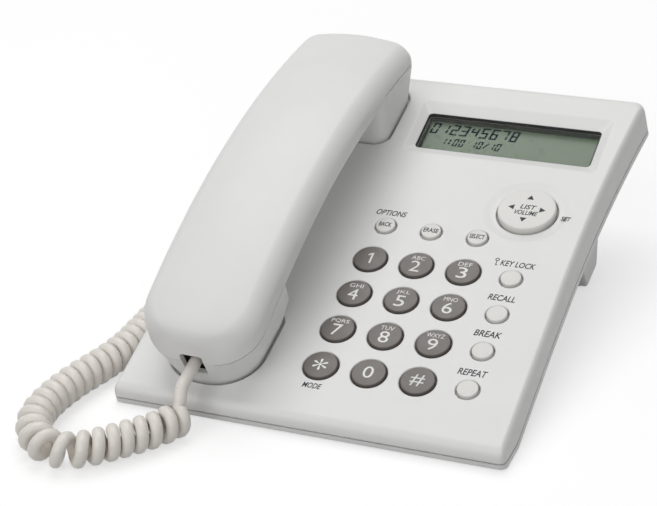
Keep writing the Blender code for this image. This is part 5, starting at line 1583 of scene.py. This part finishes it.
class PHONE_OT_keys(bpy.types.Operator):
    """Turn the push keys and the four-way key"""
    bl_idname = "phone.keys"
    bl_label = "Keys"

    def execute(self, context):
        grey = [f"key_{label}" for label, _ in DIAL]
        for node, x, y, diameter, proud in key_places():
            cap = turned(self.profile(diameter / 2, proud))
            dress(cap, f"{node}_cap", laid_at(x, y),
                  key_grey() if node in grey else key_white(), sharp=50.0)
            place_piece(cap, node, "grey_key" if node in grey else "white_key", node)
        cap = turned(self.nav_profile(), NAV_STEPS)
        dress(cap, "nav_key_cap", laid_at(NAV_X, NAV_Y), key_white(), sharp=50.0)
        place_piece(cap, "nav_key", "white_key", "nav_key")
        return {"FINISHED"}

    def profile(self, radius, proud):
        """A key cap: flange, wall, soft edge and domed top."""
        soft = sizes().key_round
        flange = radius + KEY_FLANGE_REACH
        edge = arc(soft, 0, 85, 6, (radius - soft, proud - KEY_DOME - soft))
        crest = radius - soft
        dome = [(crest * share, proud - KEY_DOME * share ** 2) for share in DOME_SHARES]
        return [(0, KEY_BOTTOM), (flange, KEY_BOTTOM), (flange, KEY_FLANGE_TOP),
                (radius, KEY_FLANGE_TOP)] + edge + dome

    def nav_profile(self):
        """The four-way key: flange, wall, soft edge and flat top."""
        flange_top = -TOP_WALL - NAV_FLANGE_DROP
        flange = NAV_RADIUS + NAV_PLAY + NAV_FLANGE_REACH
        soft = sizes().nav_round
        edge = arc(soft, 0, 90, 8, (NAV_RADIUS - soft, NAV_PROUD - soft))
        return [(0, flange_top - NAV_FLANGE), (flange, flange_top - NAV_FLANGE), (flange, flange_top),
                (NAV_RADIUS, flange_top)] + edge + [(0, NAV_PROUD)]


class PHONE_OT_display(bpy.types.Operator):
    """Make the display: lens, ground, lit figures and a dark border that is partly painted shade of the
    recessed window
    """
    bl_idname = "phone.display"
    bl_label = "Display"

    def execute(self, context):
        lens = bevelled(prism(lens_outline(0.0), LENS_TOP - LENS_THICKNESS, LENS_TOP), LENS_EDGE)
        place_piece(dress(lens, "display_lens", LAID, lens_clear()), "base", "clear_lens", "lcd_lens")
        panel = prism(lens_outline(PANEL_GROWTH), PANEL_TOP - PANEL_THICKNESS, PANEL_TOP)
        place_piece(dress(bevelled(panel, PANEL_EDGE, 2), "display_panel", LAID, display_ground()),
                    "base", "display_glass", "lcd_panel")
        # Dark ring filling the gap round the lens: painted shade of that gap
        edge = prism(lens_outline(FIT * 0.9), LENS_SEAT + FIT / 10, LENS_TOP - FIT / 3)
        cut(edge, prism(lens_outline(FIT * 0.2), LENS_SEAT - FIT, LENS_TOP + FIT))
        place_piece(dress(edge, "lens_edge", LAID, dark_plastic()), "base", "dark_plastic")
        # Dark ring under the lens's edge round the display: partly the display's own dark border, partly
        # painted shade where the recessed window's walls throw shadow
        seat = LENS_SEAT + FIT / 4
        border_with_painted_shade = prism(lens_outline(-FIT / 3), seat - FIT / 6, seat)
        join(border_with_painted_shade, prism(lens_outline(-LEDGE - FIT / 6), PANEL_TOP + FIT / 10, seat - FIT / 12))
        cut(border_with_painted_shade, prism(lens_outline(-LEDGE - FIT), PANEL_TOP - FIT, LENS_TOP))
        place_piece(dress(border_with_painted_shade, "display_border", LAID, ink("border_ink", colours().border_with_painted_shade)),
                    "base", "dark_plastic")
        bars = [bar for row in DISPLAY_ROWS for bar in self.row(*row)]
        figures = dress(gathered(bars), "display_figures", LAID, ink("segment_ink", colours().segment))
        place_piece(figures, "base", "display_glass")
        return {"FINISHED"}

    def row(self, words, x0, x1, y0, y1):
        """A row of seven-bar figures between the given edges."""
        pitch = (x1 - x0) / len(words)
        height = y1 - y0
        width = min(pitch * FIGURE_PITCH_SHARE, height * FIGURE_WIDTH_SHARE)
        lean = math.tan(sizes().slant)
        bars = []
        for index, sign in enumerate(words):
            left = x0 + pitch * index
            place = Matrix(((1, lean, 0, left), (0, 1, 0, y0), (0, 0, 1, 0), (0, 0, 0, 1)))
            for bar in self.bars(sign, width, height):
                bar.data.transform(place)
                bars.append(bar)
        return bars

    def bars(self, sign, width, height):
        """The lit bars of one figure."""
        thick = height * BAR_SHARE
        level = height / 2
        if sign == " ":
            return []
        if sign == ":":
            dots = [level + side * height * COLON_SHARE for side in (-1, 1)]
            return [self.bar((width / 2, dot - thick), (width / 2, dot + thick), thick * DOT_SHARE)
                    for dot in dots]
        if sign == "/":
            return [self.bar((0.0, thick / 2), (width, height - thick / 2), thick)]
        near, far, half = -thick / 2, width + thick / 2, thick / 2
        ends = {"t": ((near, height), (far, height)), "m": ((near, level), (far, level)),
                "e": ((near, 0), (far, 0)), "a": ((0, level + half), (0, height - half)),
                "b": ((width, level + half), (width, height - half)), "c": ((0, half), (0, level - half)),
                "d": ((width, half), (width, level - half))}
        return [self.bar(*ends[key], thick) for key in BARS[sign]]

    def bar(self, start, end, thick):
        start, end = Vector(start), Vector(end)
        along = (end - start).normalized()
        side = Vector((-along.y, along.x)) * thick / 2
        outline = [start - side, end - side, end + side, start + side]
        return prism(outline, PANEL_TOP - FIT / 10, PANEL_TOP + FIT / 5)


class PHONE_OT_words(bpy.types.Operator):
    """Print the figures, words and signs"""
    bl_idname = "phone.words"
    bl_label = "Figures and words"

    def execute(self, context):
        self.base_words()
        self.dial_figures()
        self.small_key_words()
        self.nav_signs()
        return {"FINISHED"}

    def letters(self, words, bold, lean):
        """A word as a thin mesh, with its own box from 0 to 1 in x and in y."""
        data = bpy.data.curves.new("letters", "FONT")
        data.body = words
        data.resolution_u = 3
        data.offset = bold
        data.shear = lean
        data.extrude = 0.5
        thing = bpy.data.objects.new("letters", data)
        bpy.context.scene.collection.objects.link(thing)
        graph = bpy.context.evaluated_depsgraph_get()
        mesh = bpy.data.meshes.new_from_object(thing.evaluated_get(graph))
        bpy.data.objects.remove(thing, do_unlink=True)
        bpy.data.curves.remove(data)
        low = Vector([min(vertex.co[axis] for vertex in mesh.vertices) for axis in range(3)])
        high = Vector([max(vertex.co[axis] for vertex in mesh.vertices) for axis in range(3)])
        mesh.transform(Matrix.Diagonal([1 / (high[axis] - low[axis]) for axis in range(3)]).to_4x4()
                       @ Matrix.Translation(-low))
        bm = bmesh.new()
        bm.from_mesh(mesh)
        bmesh.ops.remove_doubles(bm, verts=bm.verts[:], dist=1e-5)
        bm.to_mesh(mesh)
        bm.free()
        return new_object(mesh)

    def printed(self, words, x0, x1, y0, y1, bold=0.0, lean=0.0):
        """A word set between the given edges, standing a hair above the face."""
        rise = sizes().print_height
        thing = self.letters(words, bold, lean)
        thing.data.transform(Matrix.Translation((x0, y0, -rise))
                             @ Matrix.Diagonal((x1 - x0, y1 - y0, 2 * rise)).to_4x4())
        return thing

    def domed(self, thing, radius, proud):
        """Bend flat print down with the dome of a key."""
        bm = bmesh.new()
        bm.from_mesh(thing.data)
        longest = 0.0008
        long = [edge for edge in bm.edges if edge.calc_length() > longest]
        bmesh.ops.subdivide_edges(bm, edges=long, cuts=3)
        bmesh.ops.triangulate(bm, faces=bm.faces[:])
        crest = radius - sizes().key_round
        for vertex in bm.verts:
            vertex.co.z += proud - KEY_DOME * (vertex.co.x ** 2 + vertex.co.y ** 2) / crest ** 2
        bm.to_mesh(thing.data)
        bm.free()
        return thing

    def base_words(self):
        rise = sizes().print_height
        parts = [self.printed(*line, bold=WORD_BOLD, lean=WORD_LEAN) for line in PRINT]
        ring = prism(circle(SIGN_RING, 24, SIGN_RING_AT), -rise, rise)
        cut(ring, prism(circle(SIGN_HOLE, 24, SIGN_RING_AT), -THROUGH, THROUGH))
        parts += [ring, block(*SIGN_STEM, -rise, rise), block(*SIGN_TOOTH, -rise, rise)]
        words = dress(gathered(parts), "base_words", LAID, ink("print_ink", colours().print_ink))
        place_piece(words, "base", "dark_plastic")

    def dial_figures(self):
        pale = ink("figure_ink", colours().figure)
        size = sizes()
        rise = size.print_height
        height = size.figure_height
        for (label, letters), (node, x, y, diameter, proud) in zip(DIAL, key_places()):
            middle = FIGURE_Y_WITH_LETTERS if letters else FIGURE_Y_ALONE
            sign, wide = SIGNS.get(label, (label, FIGURE_WIDTH))
            if label == "1":
                parts = [prism([(across, along + middle) for across, along in FIGURE_ONE], -rise, rise)]
            else:
                parts = [self.printed(sign, -wide / 2, wide / 2, middle - height / 2, middle + height / 2)]
            if letters:
                reach = LETTER_HALF_WIDTH * len(letters) + LETTERS_MORE
                parts.append(self.printed(letters, -reach, reach,
                                          LETTERS_BASELINE, LETTERS_BASELINE + size.letter_height))
            figure = self.domed(gathered(parts), diameter / 2, proud)
            dress(figure, f"{node}_figure", laid_at(x, y), pale)
            place_piece(figure, node, "white_key")

    def small_key_words(self):
        dark = ink("print_ink", colours().print_ink)
        rise = SMALL_WORD_HALF_HEIGHT
        places = {node: place for node, *place in key_places()}
        for node, word, reach in SMALL_KEYS:
            x, y, diameter, proud = places[node]
            thing = self.printed(word, -reach, reach, -rise, rise, bold=SMALL_WORD_BOLD)
            self.domed(thing, diameter / 2, proud)
            dress(thing, f"{node}_word", laid_at(x, y), dark)
            place_piece(thing, node, "dark_plastic")

    def nav_signs(self):
        rise = sizes().print_height
        parts = [self.printed(*line, bold=NAV_WORD_BOLD, lean=WORD_LEAN) for line in NAV_WORDS]
        for turn in range(4):
            arrow = prism(NAV_ARROW, -rise, rise)
            arrow.data.transform(Matrix.Rotation(math.radians(90.0 * turn), 4, "Z"))
            parts.append(arrow)
        signs = dress(moved(gathered(parts), (0.0, 0.0, NAV_PROUD)), "nav_key_signs",
                      laid_at(NAV_X, NAV_Y), ink("print_ink", colours().print_ink))
        place_piece(signs, "nav_key", "dark_plastic")


class PHONE_OT_fittings(bpy.types.Operator):
    """Make screws, hook button, hanger tab and the line jack's contacts"""
    bl_idname = "phone.fittings"
    bl_label = "Screws and fittings"

    def execute(self, context):
        nodes = [f"base_screw_{index}" for index in range(1, 5)]
        screws = repeated(self.screw(), [(x, y, screw_face(y)) for x, y in screw_places()])
        place_piece(dress(screws, "base_screws", LAID, steel()), "base", "steel", *nodes)
        screws = repeated(self.screw(), [(0.0, y, handset_screw_face(y)) for y in handset_screw_ys()])
        place_piece(dress(screws, "handset_screws", HANDSET_LAID, steel()), "handset", "steel",
                    "handset_screw_1", "handset_screw_2")
        low = WELL_BOTTOM - WELL_FLOOR - FIT - HOOK_TRAVEL - HOOK_FLANGE
        high = low + HOOK_FLANGE
        stem = middle_block(hook_middle(), HOOK_WIDTH, HOOK_DEPTH, low + HOOK_FLANGE / 2, WELL_BOTTOM)
        flange = middle_block(hook_middle(), HOOK_WIDTH, HOOK_DEPTH, low, high, HOOK_FLANGE_REACH)
        button = join(bevelled(stem, HOOK_EDGE, 4), flange)
        place_piece(dress(button, "hook_cap", LAID, body_white()), "hook", "white_plastic", "hook_button")
        tab = middle_block(hanger_middle(), HANGER_WIDTH, HANGER_THICKNESS, -HANGER_DROP, 0.0)
        bevelled(tab, HANGER_EDGE)
        place_piece(dress(tab, "hanger_cap", LAID, body_white()), "base", "white_plastic", "hanger_tab")
        self.contacts()
        return {"FINISHED"}

    def screw(self):
        """A pan head screw with a cross recess and a threaded shank, its clamping face at zero."""
        head, shank = SCREW_HEAD / 2, SCREW_SHANK / 2
        soft = SCREW_HEAD_ROUND
        profile = [(0, -SCREW_HEAD_HEIGHT)]
        profile += arc(soft, 270, 360, 4, (head - soft, soft - SCREW_HEAD_HEIGHT))
        profile += [(head, 0.0)]
        for turn in range(THREAD_TURNS):
            z = (SCREW_LENGTH - shank) * turn / THREAD_TURNS
            profile += [(shank * THREAD_ROOT_SHARE, z), (shank, z + THREAD_RISE)]
        profile += [(shank * THREAD_TIP_SHARE, SCREW_LENGTH), (0.0, SCREW_LENGTH)]
        body = turned(profile, SCREW_STEPS)
        for reach_x, reach_y in ((CROSS_REACH, CROSS_HALF), (CROSS_HALF, CROSS_REACH)):
            arm = [(-reach_x, -reach_y), (reach_x, -reach_y), (reach_x, reach_y), (-reach_x, reach_y)]
            cut(body, loft([[(x, y, CROSS_START) for x, y in arm],
                            [(x * CROSS_FLOOR_SHARE, y * CROSS_FLOOR_SHARE, CROSS_FLOOR) for x, y in arm]]))
        return body

    def contacts(self):
        """Sprung wires in the line jack, each bent down as it runs in."""
        rear = wall_y(LINE_JACK_Z + LINE_JACK_HEIGHT) - SIDE_WALL - FIT
        top = LINE_JACK_Z + LINE_JACK_HEIGHT / 2
        bend = [Vector((0, rear - inward, top - down)) for inward, down in CONTACT_BEND]
        path = smooth_line(bend, CONTACT_SPACING)
        wire = grown("Wire", path, chain(len(path)), Diameter=CONTACT_WIRE, Sides=8)
        wires = repeated(wire, [(x, 0.0, 0.0) for x in contact_xs()])
        place_piece(dress(wires, "line_contacts", LAID, contact_gold(), sharp=60.0), "base", "steel")


class PHONE_OT_finishes(bpy.types.Operator):
    """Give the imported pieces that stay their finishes"""
    bl_idname = "phone.finishes"
    bl_label = "Finishes of packed pieces"

    def execute(self, context):
        self.paint(mat_grey(), "keypad_rubber")
        self.paint(board_green(), "main_pcb")
        self.paint(steel(), "hook_spring", "handset_weight")
        self.paint(dark_plastic(), "nav_pivot", "hook_switch", "ringer_speaker", "line_jack",
                   "base_handset_jack", "mic_capsule", "receiver_capsule", "handset_jack")
        self.paint(foot_black(), "front_foot_left", "front_foot_right", "stand_foot_left", "stand_foot_right")
        return {"FINISHED"}

    def paint(self, material, *nodes):
        """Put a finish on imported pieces."""
        for node in nodes:
            slots = NODES[node].material_slots
            if not slots:
                raise RuntimeError(f"{node} has no material slot")
            for slot in slots:
                slot.material = material


class PHONE_PT_panel(bpy.types.Panel):
    """Pieces, sizes and colours of the phone"""
    bl_idname = "PHONE_PT_panel"
    bl_label = "Corded desk phone"
    bl_space_type = "VIEW_3D"
    bl_region_type = "UI"
    bl_category = "Phone"

    def draw(self, context):
        for operator in OPERATORS:
            self.layout.operator(operator.bl_idname)
        for group in (context.scene.phone_sizes, context.scene.phone_colours):
            box = self.layout.box()
            for name in group.__annotations__:
                box.prop(group, name)


OPERATORS = (PHONE_OT_stage, PHONE_OT_cord, PHONE_OT_base, PHONE_OT_stand, PHONE_OT_handset, PHONE_OT_keys,
             PHONE_OT_display, PHONE_OT_words, PHONE_OT_fittings, PHONE_OT_finishes)
CLASSES = (PhoneColours, PhoneSizes) + OPERATORS + (PHONE_PT_panel,)


def register():
    for cls in CLASSES:
        bpy.utils.register_class(cls)
    bpy.types.Scene.phone_colours = PointerProperty(type=PhoneColours)
    bpy.types.Scene.phone_sizes = PointerProperty(type=PhoneSizes)


def unregister():
    del bpy.types.Scene.phone_sizes
    del bpy.types.Scene.phone_colours
    for cls in reversed(CLASSES):
        bpy.utils.unregister_class(cls)


def main():
    register()
    bpy.ops.phone.stage()
    bpy.ops.phone.cord()
    bpy.ops.phone.base()
    bpy.ops.phone.stand()
    bpy.ops.phone.handset()
    bpy.ops.phone.keys()
    bpy.ops.phone.display()
    bpy.ops.phone.words()
    bpy.ops.phone.fittings()
    bpy.ops.phone.finishes()


if __name__ == "__main__":
    main()
